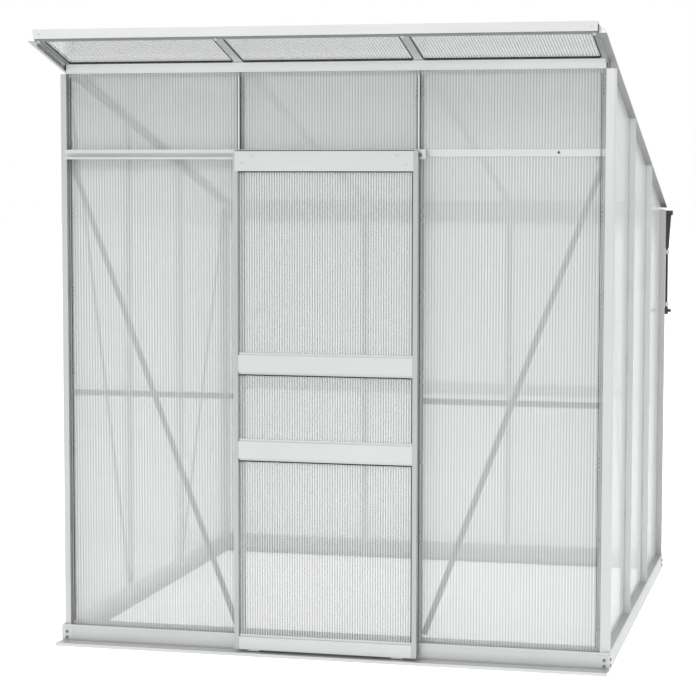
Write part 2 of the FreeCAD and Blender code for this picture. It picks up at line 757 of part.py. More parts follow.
def make_roof_bars():
    rear = f"((2 * {HALF} + rear_overhang) / {STEEP})"
    front = f"((front_overhang - bar_set_back) / {STEEP})"
    outline = [(u, f"-({v})") for u, v in glazing_outline(channel=False)]
    for side, sign in ways(("left", "right")):
        place = roof_place(f"{sign} * {INNER_BAR}")
        body = start_body(f"roof_bar_{side}", place=place, tilt=True)
        pad(body, draw(body, "XZ", [outline]), front, back=rear)


def make_roof_panels():
    body = start_body("roof_panels", place=roof_place(), tilt=True)
    level = ("-fin_deep - panel_thick", "-fin_deep")
    slabs = [rectangle(u0, u1, *level) for u0, u1 in bay_ends("panel_side_gap")]
    front = f"(front_overhang - 2 * metal_thick) / {STEEP} - {PANEL_BACK} * {SLOPE}"
    rear = f"(2 * {HALF} + rear_overhang) / {STEEP}"
    pad(body, draw(body, "XZ", slabs), front, back=rear)


def make_fascia():
    """Front trim of the roof, with a return over the panels and a lip under the bars."""
    face = f"(-{HALF} - front_overhang)"
    under = slope_height(FLANGE_BACK, "-front_overhang")
    seat = f"({under} - seat_gap / 2)"
    foot = f"({seat} - fascia_drop)"
    top = f"({foot} + fascia_tall)"
    thick = "metal_thick"
    outline = [
        (face, foot),
        (face, top),
        (f"{face} + fascia_return", f"{top} - {SLOPE} * fascia_return"),
        (f"{face} + fascia_return", f"{top} - {SLOPE} * fascia_return - {thick}"),
        (f"{face} + {thick}", f"{top} - {SLOPE} * {thick} - {thick}"),
        (f"{face} + {thick}", f"{seat} - {SLOPE} * {thick}"),
        (f"{face} + fascia_lip", f"{seat} - {SLOPE} * fascia_lip"),
        (f"{face} + fascia_lip", f"{seat} - {SLOPE} * fascia_lip - {thick}"),
        (f"{face} + {thick}", f"{seat} - {SLOPE} * {thick} - {thick}"),
        (f"{face} + {thick}", foot),
    ]
    body = start_body("roof_fascia")
    pad(body, draw(body, "YZ", [outline]), f"2 * {FASCIA_END}", both=True)
    beyond = f"({FASCIA_END} + cut_slack)"
    levels = (f"{seat} - {SLOPE} * fascia_lip - {thick} - cut_slack", seat)
    ends = [rectangle(BETWEEN_POSTS, beyond, *levels)]
    ends.append(rectangle(f"-{beyond}", f"-{BETWEEN_POSTS}", *levels))
    sketch = draw(body, "XZ", ends)
    sketch.setExpression("AttachmentOffset.Base.z", formula(f"-({face} + {thick})"))
    cut(body, sketch, "fascia_lip")


def make_rear_eave():
    """Hollow beam that carries the low ends of the roof bars, in one section with the gutter."""
    rear = HALF
    thick = "metal_thick"
    flat = EAVE_BOTTOM
    lap = f"{flat} - eave_lap"
    def top(depth):
        return f"{slope_height(FLANGE_BACK, f'2 * {HALF} - {depth}')} - seat_gap / 2"
    outline = [
        (f"{rear} - eave_deep", flat),
        (f"{rear} - {FLANGE_BACK}", flat),
        (f"{rear} - {FLANGE_BACK}", lap),
        (f"{rear} - {FLANGE_FACE}", lap),
        (f"{rear} - {FLANGE_FACE}", flat),
        (f"{rear} + gutter_wide", flat),
        (f"{rear} + gutter_wide", f"{flat} + gutter_tall"),
        (f"{rear} + gutter_wide - gutter_lip", f"{flat} + gutter_tall"),
        (f"{rear} + gutter_wide - gutter_lip", f"{flat} + gutter_tall - {thick}"),
        (f"{rear} + gutter_wide - {thick}", f"{flat} + gutter_tall - {thick}"),
        (f"{rear} + gutter_wide - {thick}", f"{flat} + {thick}"),
        (rear, f"{flat} + {thick}"),
        (rear, top("0")),
        (f"{rear} - eave_deep", top("eave_deep")),
    ]
    hollow = [
        (f"{rear} - eave_deep + {thick}", f"{flat} + {thick}"),
        (f"{rear} - {thick}", f"{flat} + {thick}"),
        (f"{rear} - {thick}", f"{top(thick)} - {thick}"),
        (f"{rear} - eave_deep + {thick}", f"{top(f'(eave_deep - {thick})')} - {thick}"),
    ]
    body = start_body("rear_eave_gutter")
    pad(body, draw(body, "YZ", [outline, hollow]), f"2 * {GUTTER_END}", both=True)
    beyond = f"({GUTTER_END} + cut_slack)"
    beam = (f"{HALF} - eave_deep - cut_slack", HALF)
    ends = [rectangle(BETWEEN_POSTS, beyond, *beam)]
    ends.append(rectangle(f"-{beyond}", f"-{BETWEEN_POSTS}", *beam))
    cut(body, draw(body, "XY", ends))
    lap_levels = (f"{lap} - cut_slack", flat)
    trims = [rectangle(LAP_END, beyond, *lap_levels)]
    trims.append(rectangle(f"-{beyond}", f"-{LAP_END}", *lap_levels))
    cut(body, draw(body, "XZ", trims))


def make_rear_mid_rail():
    """Angle across the rear wall, in three lengths between the bolt channels."""
    body = start_body("rear_mid_rail", place=("0", f"{HALF} - {FLANGE_BACK}", "0"))
    thick = "metal_thick"
    near = f"({INNER_BAR} + channel_half + seat_gap)"
    inside = f"({INNER_BAR} - channel_half - seat_gap)"
    low = "rear_rail_top - rear_rail_tall"
    runs = ((f"-{BETWEEN_POSTS}", f"-{near}"), (f"-{inside}", inside), (near, BETWEEN_POSTS))
    plate = [rectangle(u0, u1, low, "rear_rail_top") for u0, u1 in runs]
    pad(body, draw(body, "XZ", plate), thick)
    shelf = [rectangle(u0, u1, f"rear_rail_top - {thick}", "rear_rail_top") for u0, u1 in runs]
    pad(body, draw(body, "XZ", shelf), "mid_rail_deep")


# Panels of the walls
def make_front_panels():
    place = ("0", f"-{HALF} + fin_deep", "0")
    foot = "base_tall + seat_gap"
    lower_top = "head_rail_middle - metal_thick / 2 - seat_gap"
    upper_low = "head_rail_middle + metal_thick / 2 + seat_gap"
    upper_top = f"{TOP_RAIL_BOTTOM} - seat_gap"
    bays = bay_ends("panel_side_gap")
    for label, (u0, u1) in (("front_panel_left", bays[0]), ("front_panel_right", bays[2])):
        body = start_body(label, place=place)
        slab = rectangle(u0, u1, foot, lower_top)
        pad(body, draw(body, "XZ", [slab]), "panel_thick", reverse=True)
    body = start_body("front_upper_panels", place=place)
    slabs = [rectangle(u0, u1, upper_low, upper_top) for u0, u1 in bays]
    pad(body, draw(body, "XZ", slabs), "panel_thick", reverse=True)


def make_side_panels():
    """Three panels a side, each with its top cut to the slope of the roof."""
    for side, sign in ways(("left", "right")):
        place = (f"{sign} * ({HALF} - fin_deep)", "0", "0")
        body = start_body(f"side_panels_{side}", place=place)
        slabs = []
        for v0, v1 in bay_ends("panel_side_gap"):
            under = "(gable_fin_drop + metal_thick)"
            tops = [f"{slope_height(under, f'{HALF} + {v}')} - seat_gap" for v in (v0, v1)]
            foot = "base_tall + seat_gap"
            slabs.append([(v0, foot), (v1, foot), (v1, tops[1]), (v0, tops[0])])
        pad(body, draw(body, "YZ", slabs), "panel_thick", reverse=(sign == 1))


def make_rear_panels():
    body = start_body("rear_panels", place=("0", f"{HALF} - fin_deep", "0"))
    levels = ("base_tall + seat_gap", f"{EAVE_BOTTOM} - seat_gap")
    slabs = [rectangle(u0, u1, *levels) for u0, u1 in bay_ends("panel_side_gap")]
    pad(body, draw(body, "XZ", slabs), "panel_thick")


# Rainwater outlet and hose
def make_gutter_cap():
    """Closed end of the gutter on the left."""
    thick = "outlet_wall"
    body = start_body("gutter_end_cap", place=(f"-{GUTTER_END} - {thick}", "0", "0"))
    ends = (f"{HALF} + seat_gap", f"{HALF} + gutter_wide + {thick} / 2")
    levels = (f"{EAVE_BOTTOM} - {thick} / 2", f"{EAVE_BOTTOM} + gutter_tall")
    pad(body, draw(body, "YZ", [rectangle(*ends, *levels)]), thick)


def funnel(body, kind, foot, top, low, high):
    """Four-sided taper between two heights, given by half of its width at each."""
    wedge = body.newObject(f"PartDesign::{kind}Wedge", f"{body.Name}_{kind.lower()}_funnel")
    wedge.Placement = Placement(Vector(), Rotation(Vector(1, 0, 0), 90))
    sides = {"Xmax": foot, "Zmax": foot, "X2max": top, "Z2max": top, "Ymin": low, "Ymax": high}
    sides.update({"Xmin": f"-({foot})", "Zmin": f"-({foot})", "X2min": f"-({top})", "Z2min": f"-({top})"})
    for side, value in sides.items():
        wedge.setExpression(side, formula(value))


def make_outlet():
    """End trough of the gutter with a four-sided funnel that narrows to the hose's spigot."""
    body = start_body("gutter_outlet", place=(OUTLET_X, OUTLET_Y, EAVE_BOTTOM))
    wall = "outlet_wall"
    left = "-funnel_set"
    right = "outlet_long - funnel_set"
    half = "(gutter_wide / 2)"
    trough = rectangle(left, right, f"-{half} + seat_gap", half)
    pad(body, draw(body, "XY", [trough]), "outlet_tall")
    funnel(body, "Additive", "funnel_foot_half", "funnel_top_half", "-funnel_tall", wall)
    stub = draw(body, "XY", [], [("0", "0", SPIGOT)])
    stub.setExpression("AttachmentOffset.Base.z", formula("-funnel_tall"))
    pad(body, stub, "spigot_long", reverse=True)
    sides = (f"{left} - cut_slack", f"{right} - {wall}")
    room = rectangle(*sides, f"-{half} + seat_gap + {wall}", f"{half} - {wall}")
    sketch = draw(body, "XY", [room])
    sketch.setExpression("AttachmentOffset.Base.z", formula("outlet_tall"))
    cut(body, sketch, f"outlet_tall - {wall}")
    inside = (f"funnel_foot_half - {wall}", f"funnel_top_half - {wall}")
    funnel(body, "Subtractive", *inside, f"-funnel_tall + {wall}", f"{wall} + cut_slack")
    bore = draw(body, "XY", [], [("0", "0", f"{SPIGOT} - metal_thick / 2")])
    bore.setExpression("AttachmentOffset.Base.z", formula(f"-funnel_tall + {wall}"))
    cut(body, bore, f"spigot_long + {wall} + cut_slack")


def make_hose():
    """Short straight length of hose that hangs from the outlet."""
    body = start_body("drain_hose", place=(OUTLET_X, OUTLET_Y, HOSE_BOTTOM))
    rings = [("0", "0", "hose_radius"), ("0", "0", HOSE_BORE)]
    pad(body, draw(body, "XY", [], rings), "hose_long")


def make_clamps():
    """Bands round the two ends of the hose, each with a lug for its screw."""
    body = start_body("hose_clamps", place=(OUTLET_X, OUTLET_Y, "0"))
    inner = "(hose_radius + spigot_play)"
    outer = f"({inner} + clamp_thick)"
    lug = (f"{inner} + clamp_thick / 2", f"{outer} + 2 * clamp_thick")
    for level in (f"{HOSE_TOP} - upper_clamp_drop", f"{HOSE_BOTTOM} + lower_clamp_rise"):
        band = draw(body, "XY", [], [("0", "0", outer), ("0", "0", inner)])
        ear = draw(body, "XY", [rectangle(*lug, "-clamp_thick", "clamp_thick")])
        for sketch in (band, ear):
            sketch.setExpression("AttachmentOffset.Base.z", formula(level))
            pad(body, sketch, "clamp_tall")


def make_elbow():
    """End piece of the hose, which turns the water outward."""
    body = start_body("hose_elbow", place=(OUTLET_X, OUTLET_Y, "0"))
    shoulder = f"({HOSE_BOTTOM} - seat_gap)"
    insert = f"({shoulder} + elbow_insert)"
    profile = [
        ("0", f"{HOSE_BOTTOM} - elbow_tall"),
        ("elbow_radius", f"{HOSE_BOTTOM} - elbow_tall"),
        ("elbow_radius", f"{shoulder} - elbow_chamfer"),
        ("hose_radius", shoulder),
        (SPIGOT, shoulder),
        (SPIGOT, insert),
        ("0", insert),
    ]
    turned = body.newObject("PartDesign::Revolution", "hose_elbow_body")
    turned.Profile = draw(body, "XZ", [profile])
    turned.ReferenceAxis = (turned.Profile[0], ["V_Axis"])
    turned.Angle = 360
    spout = draw(body, "YZ", [], [("0", ELBOW_AXIS, "spout_radius")])
    pad(body, spout, "elbow_reach")
    way = draw(body, "YZ", [], [("0", ELBOW_AXIS, "elbow_bore")])
    cut(body, way, "elbow_reach + cut_slack", reverse=True)
    bore = draw(body, "XY", [], [("0", "0", f"{SPIGOT} - metal_thick / 2")])
    bore.setExpression("AttachmentOffset.Base.z", formula(ELBOW_AXIS))
    cut(body, bore, ELBOW_AXIS, reverse=True)


# Door
def door_section(low, tall, rib_up, rib_down):
    """Hollow rail with ribs that grip the panel above it, below it or both."""
    front = f"-{DOOR_FACE}"
    back = f"(-{DOOR_FACE} + door_thick)"
    high = f"({low} + {tall})"
    thick = "metal_thick"
    groove_front = f"({front} + door_panel_set - seat_gap)"
    groove_back = f"({front} + door_panel_set + panel_thick + seat_gap)"
    def rib(level, tip):
        first = [(f"{groove_front} - {thick}", level), (f"{groove_front} - {thick}", tip)]
        first += [(groove_front, tip), (groove_front, level)]
        second = [(groove_back, level), (groove_back, tip)]
        second += [(f"{groove_back} + {thick}", tip), (f"{groove_back} + {thick}", level)]
        return first + second
    outline = [(front, low), (front, high)]
    if rib_up:
        outline += rib(high, f"{high} + rail_rib")
    outline += [(back, high), (back, low)]
    if rib_down:
        outline += list(reversed(rib(low, f"{low} - rail_rib")))
    inner = (f"{front} + {thick}", f"{back} - {thick}", f"{low} + {thick}", f"{high} - {thick}")
    return outline, rectangle(*inner)


def make_door_rails():
    rails = (
        ("door_bottom_rail", "door_bottom", "bottom_rail_tall", True, False),
        ("door_rail_lower", "lower_rail_bottom", "door_rail_tall", True, True),
        ("door_rail_upper", "upper_rail_bottom", "door_rail_tall", True, True),
    )
    for label, low, tall, up, down in rails:
        body = start_body(label, place=(STILE_INSIDE, "0", "0"))
        pad(body, draw(body, "YZ", door_section(low, tall, up, down)), BETWEEN_STILES)


def make_door_head():
    """Head of the door: a cover in front of the stiles and a box between them."""
    body = start_body("door_head", place=("0", f"-{COVER_FACE}", "0"))
    ends = (f"{COVER_CENTRE} - {COVER_HALF}", f"{COVER_CENTRE} + {COVER_HALF}")
    cover = rectangle(*ends, f"{DOOR_TOP} - cover_tall", DOOR_TOP)
    pad(body, draw(body, "XZ", [cover]), "cover_thick", reverse=True)
    outlines = door_section(f"({DOOR_TOP} - head_box_tall)", "head_box_tall", False, True)
    outlines = [[(f"{u} + {COVER_FACE}", v) for u, v in ring] for ring in outlines]
    sketch = draw(body, "YZ", outlines)
    sketch.setExpression("AttachmentOffset.Base.z", formula(STILE_INSIDE))
    pad(body, sketch, BETWEEN_STILES)
    holes = []
    for sign in "-+":
        across = f"{COVER_CENTRE} {sign} {WHEEL_HALF_SPACING}"
        holes.append((across, WHEEL_HEIGHT, "axle_radius + axle_play"))
    cut(body, draw(body, "XZ", [], holes))


def make_stiles():
    """Side members of the door: a channel with two ribs that hold the panels' edges."""
    thick = "metal_thick"
    front_rib = "door_panel_set - seat_gap"
    back_rib = "door_panel_set + panel_thick + seat_gap"
    outline = [
        ("0", "0"),
        ("stile_wide", "0"),
        ("stile_wide", thick),
        (thick, thick),
        (thick, f"{front_rib} - {thick}"),
        ("stile_rib", f"{front_rib} - {thick}"),
        ("stile_rib", front_rib),
        (thick, front_rib),
        (thick, back_rib),
        ("stile_rib", back_rib),
        ("stile_rib", f"{back_rib} + {thick}"),
        (thick, f"{back_rib} + {thick}"),
        (thick, f"door_thick - {thick}"),
        ("stile_wide", f"door_thick - {thick}"),
        ("stile_wide", "door_thick"),
        ("0", "door_thick"),
    ]
    for side, sign in ways(("left", "right")):
        place = (f"door_centre + {sign} * {DOOR_WIDE} / 2", f"-{DOOR_FACE}", "door_bottom")
        body = start_body(f"door_stile_{side}", place=place)
        ring = [(f"{-sign} * ({u})", v) for u, v in outline]
        pad(body, draw(body, "XY", [ring]), f"{DOOR_TOP} - door_bottom")


def make_door_panels():
    place = ("0", f"-{DOOR_FACE} + door_panel_set", "0")
    left = f"{DOOR_LEFT} + metal_thick + seat_gap"
    right = f"{DOOR_LEFT} + {DOOR_WIDE} - metal_thick - seat_gap"
    spans = (
        ("door_panel_lower", "door_bottom + bottom_rail_tall", "lower_rail_bottom"),
        ("door_panel_middle", "lower_rail_bottom + door_rail_tall", "upper_rail_bottom"),
        ("door_panel_upper", "upper_rail_bottom + door_rail_tall", f"{DOOR_TOP} - head_box_tall"),
    )
    for label, low, high in spans:
        body = start_body(label, place=place)
        slab = rectangle(left, right, f"{low} + seat_gap", f"{high} - seat_gap")
        pad(body, draw(body, "XZ", [slab]), "panel_thick", reverse=True)


def make_wheels():
    """Rollers in the track, each on an axle that passes through the door's head."""
    back = number(f"-{HALF} - wheel_back")
    wide = number("wheel_wide")
    face = number(f"-{COVER_FACE}")
    along = Vector(0, 1, 0)
    axles = []
    for side, sign in ways(("left", "right")):
        x = number(f"{COVER_CENTRE} + {sign} * {WHEEL_HALF_SPACING}")
        z = number(WHEEL_HEIGHT)
        seat = Vector(x, back - wide, z)
        rim = Part.makeCylinder(number("wheel_radius"), wide, seat, along)
        bore = Part.makeCylinder(number("axle_radius + axle_play"), wide, seat, along)
        add_shape(f"door_wheel_{side}", [rim.cut(bore)])
        collar = number("axle_collar_thick")
        gap = number("seat_gap")
        stem_long = back + gap + collar - face
        stem = Part.makeCylinder(number("axle_radius"), stem_long, Vector(x, face, z), along)
        head_seat = Vector(x, face - number("axle_head_thick"), z)
        head = Part.makeCylinder(number("axle_head_radius"), number("axle_head_thick"), head_seat, along)
        ring = Part.makeCylinder(number("axle_collar_radius"), collar, Vector(x, back + gap, z), along)
        axles.append(stem.fuse([head, ring]))
    add_shape("door_axles", axles)


def make_door_guides():
    """Nylon feet under the door that run in the groove of the sill."""
    body = start_body("door_guides")
    plate_low = "door_bottom - guide_thick"
    foot_back = f"(-{HALF} - guide_groove_back - guide_play)"
    outline = [
        (f"-{DOOR_FACE} + guide_foot", "door_bottom"),
        (f"-{DOOR_FACE} + guide_foot", plate_low),
        (f"{foot_back} - guide_foot", plate_low),
        (f"{foot_back} - guide_foot", "guide_foot_bottom"),
        (foot_back, "guide_foot_bottom"),
        (foot_back, "door_bottom"),
    ]
    for sign in "-+":
        sketch = draw(body, "YZ", [outline])
        start = f"door_centre {sign} {GUIDE_HALF_SPACING} - guide_wide / 2"
        sketch.setExpression("AttachmentOffset.Base.z", formula(start))
        pad(body, sketch, "guide_wide")


# Track over the door
def make_track():
    """Channel with a slot along its face, in which the door's wheels roll."""
    back = f"-{HALF}"
    thick = "metal_thick"
    outline = [
        (back, TRACK_BOTTOM),
        (TRACK_FRONT, TRACK_BOTTOM),
        (TRACK_FRONT, f"{TRACK_BOTTOM} + track_lower_lip"),
        (f"{TRACK_FRONT} + {thick}", f"{TRACK_BOTTOM} + track_lower_lip"),
        (f"{TRACK_FRONT} + {thick}", f"{TRACK_BOTTOM} + {thick}"),
        (f"{back} - {thick}", f"{TRACK_BOTTOM} + {thick}"),
        (f"{back} - {thick}", f"{TRACK_TOP} - {thick}"),
        (f"{TRACK_FRONT} + {thick}", f"{TRACK_TOP} - {thick}"),
        (f"{TRACK_FRONT} + {thick}", f"{TRACK_TOP} - track_upper_lip"),
        (TRACK_FRONT, f"{TRACK_TOP} - track_upper_lip"),
        (TRACK_FRONT, TRACK_TOP),
        (back, TRACK_TOP),
    ]
    body = start_body("door_track", place=(f"-{TRACK_LEFT}", "0", "0"))
    pad(body, draw(body, "YZ", [outline]), f"{TRACK_LEFT} + {TRACK_RIGHT}")


def make_track_stop():
    """End piece that closes the track on the right and stops the door."""
    back = f"-{HALF}"
    corner = "stop_chamfer"
    outline = [
        (back, TRACK_BOTTOM),
        (f"{TRACK_FRONT} + {corner}", TRACK_BOTTOM),
        (TRACK_FRONT, f"{TRACK_BOTTOM} + {corner}"),
        (TRACK_FRONT, f"{TRACK_TOP} - {corner}"),
        (f"{TRACK_FRONT} + {corner}", TRACK_TOP),
        (back, TRACK_TOP),
    ]
    body = start_body("track_stop", place=(TRACK_RIGHT, "0", "0"))
    pad(body, draw(body, "YZ", [outline]), "stop_long")


# Wire clips that press the panels against the flanges
def make_wire_clips():
    """Bent wires beside the fins of the front bars, pressed on the panels' faces."""
    wire = number("wire_radius")
    tall = number("clip_tall")
    depth = number(f"-{HALF} + fin_deep") - wire
    beside = number("metal_thick / 2") + wire * 2
    reach = tall / 4
    clips = []
    low = number("base_tall") + tall
    spacing = number("clip_spacing")
    count = int((number(TRACK_BOTTOM) - low - tall) / spacing) + 1
    for bar, out in ((number(f"-{INNER_BAR}"), -1), (number(INNER_BAR), 1)):
        for row in range(count):
            z = low + row * spacing
            points = [Vector(bar + out * beside, depth, z)]
            points.append(Vector(bar + out * (beside + reach), depth, z + tall / 4))
            points.append(Vector(bar + out * beside, depth, z + tall / 2))
            points.append(Vector(bar + out * (beside + reach), depth, z + tall * 3 / 4))
            points.append(Vector(bar + out * beside, depth, z + tall))
            clips.append(bent_wire(points, wire))
    add_shape("wire_clips", clips)


def bent_wire(points, radius):
    """Square wire along straight legs in one plane, mitred where it bends."""
    offset = []
    count = len(points)
    for i, point in enumerate(points):
        before = points[max(i - 1, 0)]
        after = points[min(i + 1, count - 1)]
        along = (after - before).normalize()
        offset.append(Vector(-along.z, 0, along.x) * radius)
    ring = [p + o for p, o in zip(points, offset)]
    ring += [p - o for p, o in reversed(list(zip(points, offset)))]
    ring.append(ring[0])
    lowered = [Vector(p.x, p.y - radius, p.z) for p in ring]
    return Part.Face(Part.makePolygon(lowered)).extrude(Vector(0, 2 * radius, 0))


make_base_rails()
make_corner_plates()
make_corner_bolts()
make_sill()
make_posts()
make_bars()
make_top_rail()
make_head_rails()
make_front_mid_rails()
make_front_braces()
make_gussets()
make_side_braces()
make_gable_bars()
make_roof_bars()
make_roof_panels()
make_fascia()
make_rear_eave()
make_rear_mid_rail()
make_front_panels()
make_side_panels()
make_rear_panels()
make_gutter_cap()
make_outlet()
make_hose()
make_clamps()
make_elbow()
make_door_rails()
make_door_head()
make_stiles()
make_door_panels()
make_wheels()
make_door_guides()
make_track()
make_track_stop()
make_wire_clips()

doc.recompute()

for item in doc.Objects:
    if "Invalid" in item.State or "Error" in item.State:
        raise RuntimeError(f"{item.Name} did not recompute: {item.State}")
for item in sub_parts:
    if item.Shape.isNull() or not item.Shape.isValid():
        raise RuntimeError(f"{item.Label} has no valid shape")

os.makedirs("parts", exist_ok=True)
for item in sub_parts:
    item.Shape.exportStep(f"parts/{item.Label}.step")
print(len(sub_parts), "sub-parts written")
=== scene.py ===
import json
import math

import bpy
from bpy.props import FloatProperty, FloatVectorProperty, PointerProperty
from mathutils import Matrix, Vector


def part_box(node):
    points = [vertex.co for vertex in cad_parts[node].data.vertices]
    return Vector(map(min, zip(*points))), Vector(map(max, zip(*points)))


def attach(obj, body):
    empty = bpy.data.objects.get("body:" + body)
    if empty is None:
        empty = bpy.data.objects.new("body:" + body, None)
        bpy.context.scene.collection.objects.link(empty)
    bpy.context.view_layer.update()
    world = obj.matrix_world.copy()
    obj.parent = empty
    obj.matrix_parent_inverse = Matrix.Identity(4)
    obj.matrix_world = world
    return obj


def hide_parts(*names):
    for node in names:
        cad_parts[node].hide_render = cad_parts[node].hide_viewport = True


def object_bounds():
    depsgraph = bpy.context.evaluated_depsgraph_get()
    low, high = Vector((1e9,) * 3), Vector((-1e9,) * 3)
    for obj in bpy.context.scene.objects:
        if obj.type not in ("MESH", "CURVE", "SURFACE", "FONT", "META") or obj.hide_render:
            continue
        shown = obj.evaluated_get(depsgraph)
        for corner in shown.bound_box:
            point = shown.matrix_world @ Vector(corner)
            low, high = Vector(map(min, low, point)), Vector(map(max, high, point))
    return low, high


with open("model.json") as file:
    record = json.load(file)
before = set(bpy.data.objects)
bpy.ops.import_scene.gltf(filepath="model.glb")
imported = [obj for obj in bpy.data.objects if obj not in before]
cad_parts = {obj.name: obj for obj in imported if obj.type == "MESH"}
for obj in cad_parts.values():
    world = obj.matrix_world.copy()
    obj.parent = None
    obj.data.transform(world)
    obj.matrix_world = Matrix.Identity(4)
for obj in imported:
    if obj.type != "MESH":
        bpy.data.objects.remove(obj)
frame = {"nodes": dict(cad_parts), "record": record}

bl_info = {
    "name": "Pent-roof greenhouse",
    "version": (1, 0, 0),
    "blender": (4, 5, 0),
    "location": "View3D > Sidebar > Greenhouse",
    # The seals in this description are black strips of painted shade
    "description": "Dresses the greenhouse with sheets, clips, bolts, seals, drain and finishes",
    "category": "Object",
}

HOUSE_LOW, HOUSE_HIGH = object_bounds()
ROOF_ANGLE = math.radians(14.54)
ROOF_SLOPE = math.tan(ROOF_ANGLE)
WALL_FACE = -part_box("base_front")[0].y
BAR_HALF = 0.0145
BAR_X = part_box("front_bar_right")[0].x + BAR_HALF
POST_WIDE = 0.0335
POST_X = WALL_FACE - POST_WIDE
FIN_DEEP = 0.021
ROOF_BAR_DEEP = 0.0268
GABLE_BAR_DEEP = 0.0345
STRIP_GAP = 0.001
SHEET_THICK = 0.004
FORWARD = (0.0, -1.0, 0.0)
# Distances too small to see: one tells the faces of a piece apart, one keeps two pieces apart
TOUCH = 0.00001
HAIR = 0.0001

# Places of the single screws and bolts, along the front and up it
COVER_SCREWS = ((-0.289, 1.677), (0.277, 1.669))
HEAD_RAIL_SCREW = (0.774, 1.711)
FASCIA_SCREW_X = 0.912
GABLE_BOLT_X = 0.9205

# Painted light and shade: the share of the metal's brightness for the sections whose node starts
# with a name, darker where a section stands in shade, such as the braces behind the sheets and the
# gable bars, and lighter where it would look too shaded, such as the top rail under the overhang
PAINTED_LIGHT_SHARES = (
    ("corner_post", 0.87),
    ("base_rear", 0.7),
    ("base", 0.9),
    ("door_stile", 0.72),
    ("door", 0.94),
    ("top_rail", 1.2),
    ("roof_fascia", 1.08),
    ("front_bar", 0.95),
    ("front_braces", 0.35),
    ("front_mid", 0.35),
    ("side_braces", 0.7),
    ("gusset", 0.7),
    ("side_bar", 1.15),
    ("rear_bars", 1.15),
    ("gable", 0.65),
)
SLOT_FINISHES = {
    "bright_steel": "bright_zinc_steel",
    "black_plastic": "black_plastic",
    "grey_plastic": "grey_plastic",
    "nylon": "white_nylon",
    "hose_rubber": "hose_rubber",
    "panel": "wall_sheet",
}


# Handling of objects
def deselect():
    bpy.ops.object.select_all(action="DESELECT")
    bpy.context.view_layer.objects.active = None


def select_only(*pieces):
    deselect()
    for piece in pieces:
        piece.select_set(True)
    bpy.context.view_layer.objects.active = pieces[0]


def settle(piece):
    """Put the piece's place, turn and scale into its mesh."""
    select_only(piece)
    bpy.ops.object.transform_apply(location=True, rotation=True, scale=True)
    return piece


def place(piece, matrix):
    """Move the piece's mesh by a matrix."""
    piece.matrix_world = matrix
    return settle(piece)


def copy_of(piece, name):
    """A copy with its own mesh."""
    twin = piece.copy()
    twin.data = piece.data.copy()
    twin.name = name
    bpy.context.collection.objects.link(twin)
    return twin


def joined(pieces, name):
    """One piece made of several."""
    select_only(*pieces)
    if len(pieces) > 1:
        bpy.ops.object.join()
    piece = bpy.context.view_layer.objects.active
    piece.name = name
    piece.data.name = name
    return piece


def dress(piece, body, material, node=None):
    """Give the piece its finish and its body, and hide the plain solid that it stands for.

    A piece whose material is None keeps the finishes that it has.
    """
    if material is not None:
        piece.data.materials.clear()
        piece.data.materials.append(material)
    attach(piece, body)
    if node is not None:
        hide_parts(node)
    return piece


def pick(piece, kind, wanted):
    """Edit mode with only the wanted edges or faces selected, by their ends or their centre."""
    select_only(piece)
    bpy.context.tool_settings.mesh_select_mode = (False, kind == "EDGE", kind == "FACE")
    mesh = piece.data
    for group in (mesh.vertices, mesh.edges, mesh.polygons):
        group.foreach_set("select", [False] * len(group))
    if kind == "EDGE":
        for edge in mesh.edges:
            edge.select = wanted(*(mesh.vertices[end].co for end in edge.vertices))
    else:
        for face in mesh.polygons:
            face.select = wanted(face.center, face.normal)
    bpy.ops.object.mode_set(mode="EDIT")


def edit_all(piece):
    """Edit mode with everything selected."""
    select_only(piece)
    bpy.ops.object.mode_set(mode="EDIT")
    bpy.ops.mesh.select_all(action="SELECT")


def leave():
    bpy.ops.object.mode_set(mode="OBJECT")


def solids_of(node):
    """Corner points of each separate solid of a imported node, sorted by place."""
    twin = copy_of(frame["nodes"][node], "measured")
    twin.parent = None
    edit_all(twin)
    bpy.ops.mesh.remove_doubles(threshold=TOUCH)
    bpy.ops.mesh.separate(type="LOOSE")
    leave()
    solids = []
    for part in list(bpy.context.selected_objects):
        solids.append([vertex.co.copy() for vertex in part.data.vertices])
        bpy.data.objects.remove(part)
    return sorted(solids, key=lambda corners: tuple(round(value, 4) for value in span(corners)[0]))


def span(corners):
    """Lowest and highest corner of some points."""
    low = Vector([min(corner[axis] for corner in corners) for axis in range(3)])
    high = Vector([max(corner[axis] for corner in corners) for axis in range(3)])
    return low, high


def facing(where, outward):
    """Matrix that seats a piece at a point, with its outside along a direction."""
    turn = Vector(outward).to_track_quat("Z", "Y").to_matrix().to_4x4()
    return Matrix.Translation(where) @ turn


def repeated(shape, places, name):
    """One piece made of copies of a shape, and the shape itself taken away."""
    copies = [place(copy_of(shape, name), matrix) for matrix in places]
    bpy.data.objects.remove(shape)
    return joined(copies, name)


def block(low, high, stand=None):
    """Box between two corners, which are measured from its stand."""
    deselect()
    bpy.ops.mesh.primitive_cube_add(size=1.0)
    box = bpy.context.active_object
    low, high = Vector(low), Vector(high)
    fit = Matrix.Translation((low + high) / 2) @ Matrix.Diagonal((*(high - low), 1.0))
    return place(box, (stand or Matrix.Identity(4)) @ fit)


def ease_edges(piece, ease):
    """Bevel all edges of a piece a little."""
    edit_all(piece)
    bpy.ops.mesh.bevel(offset=ease, segments=1, affect="EDGES")
    leave()
    return piece


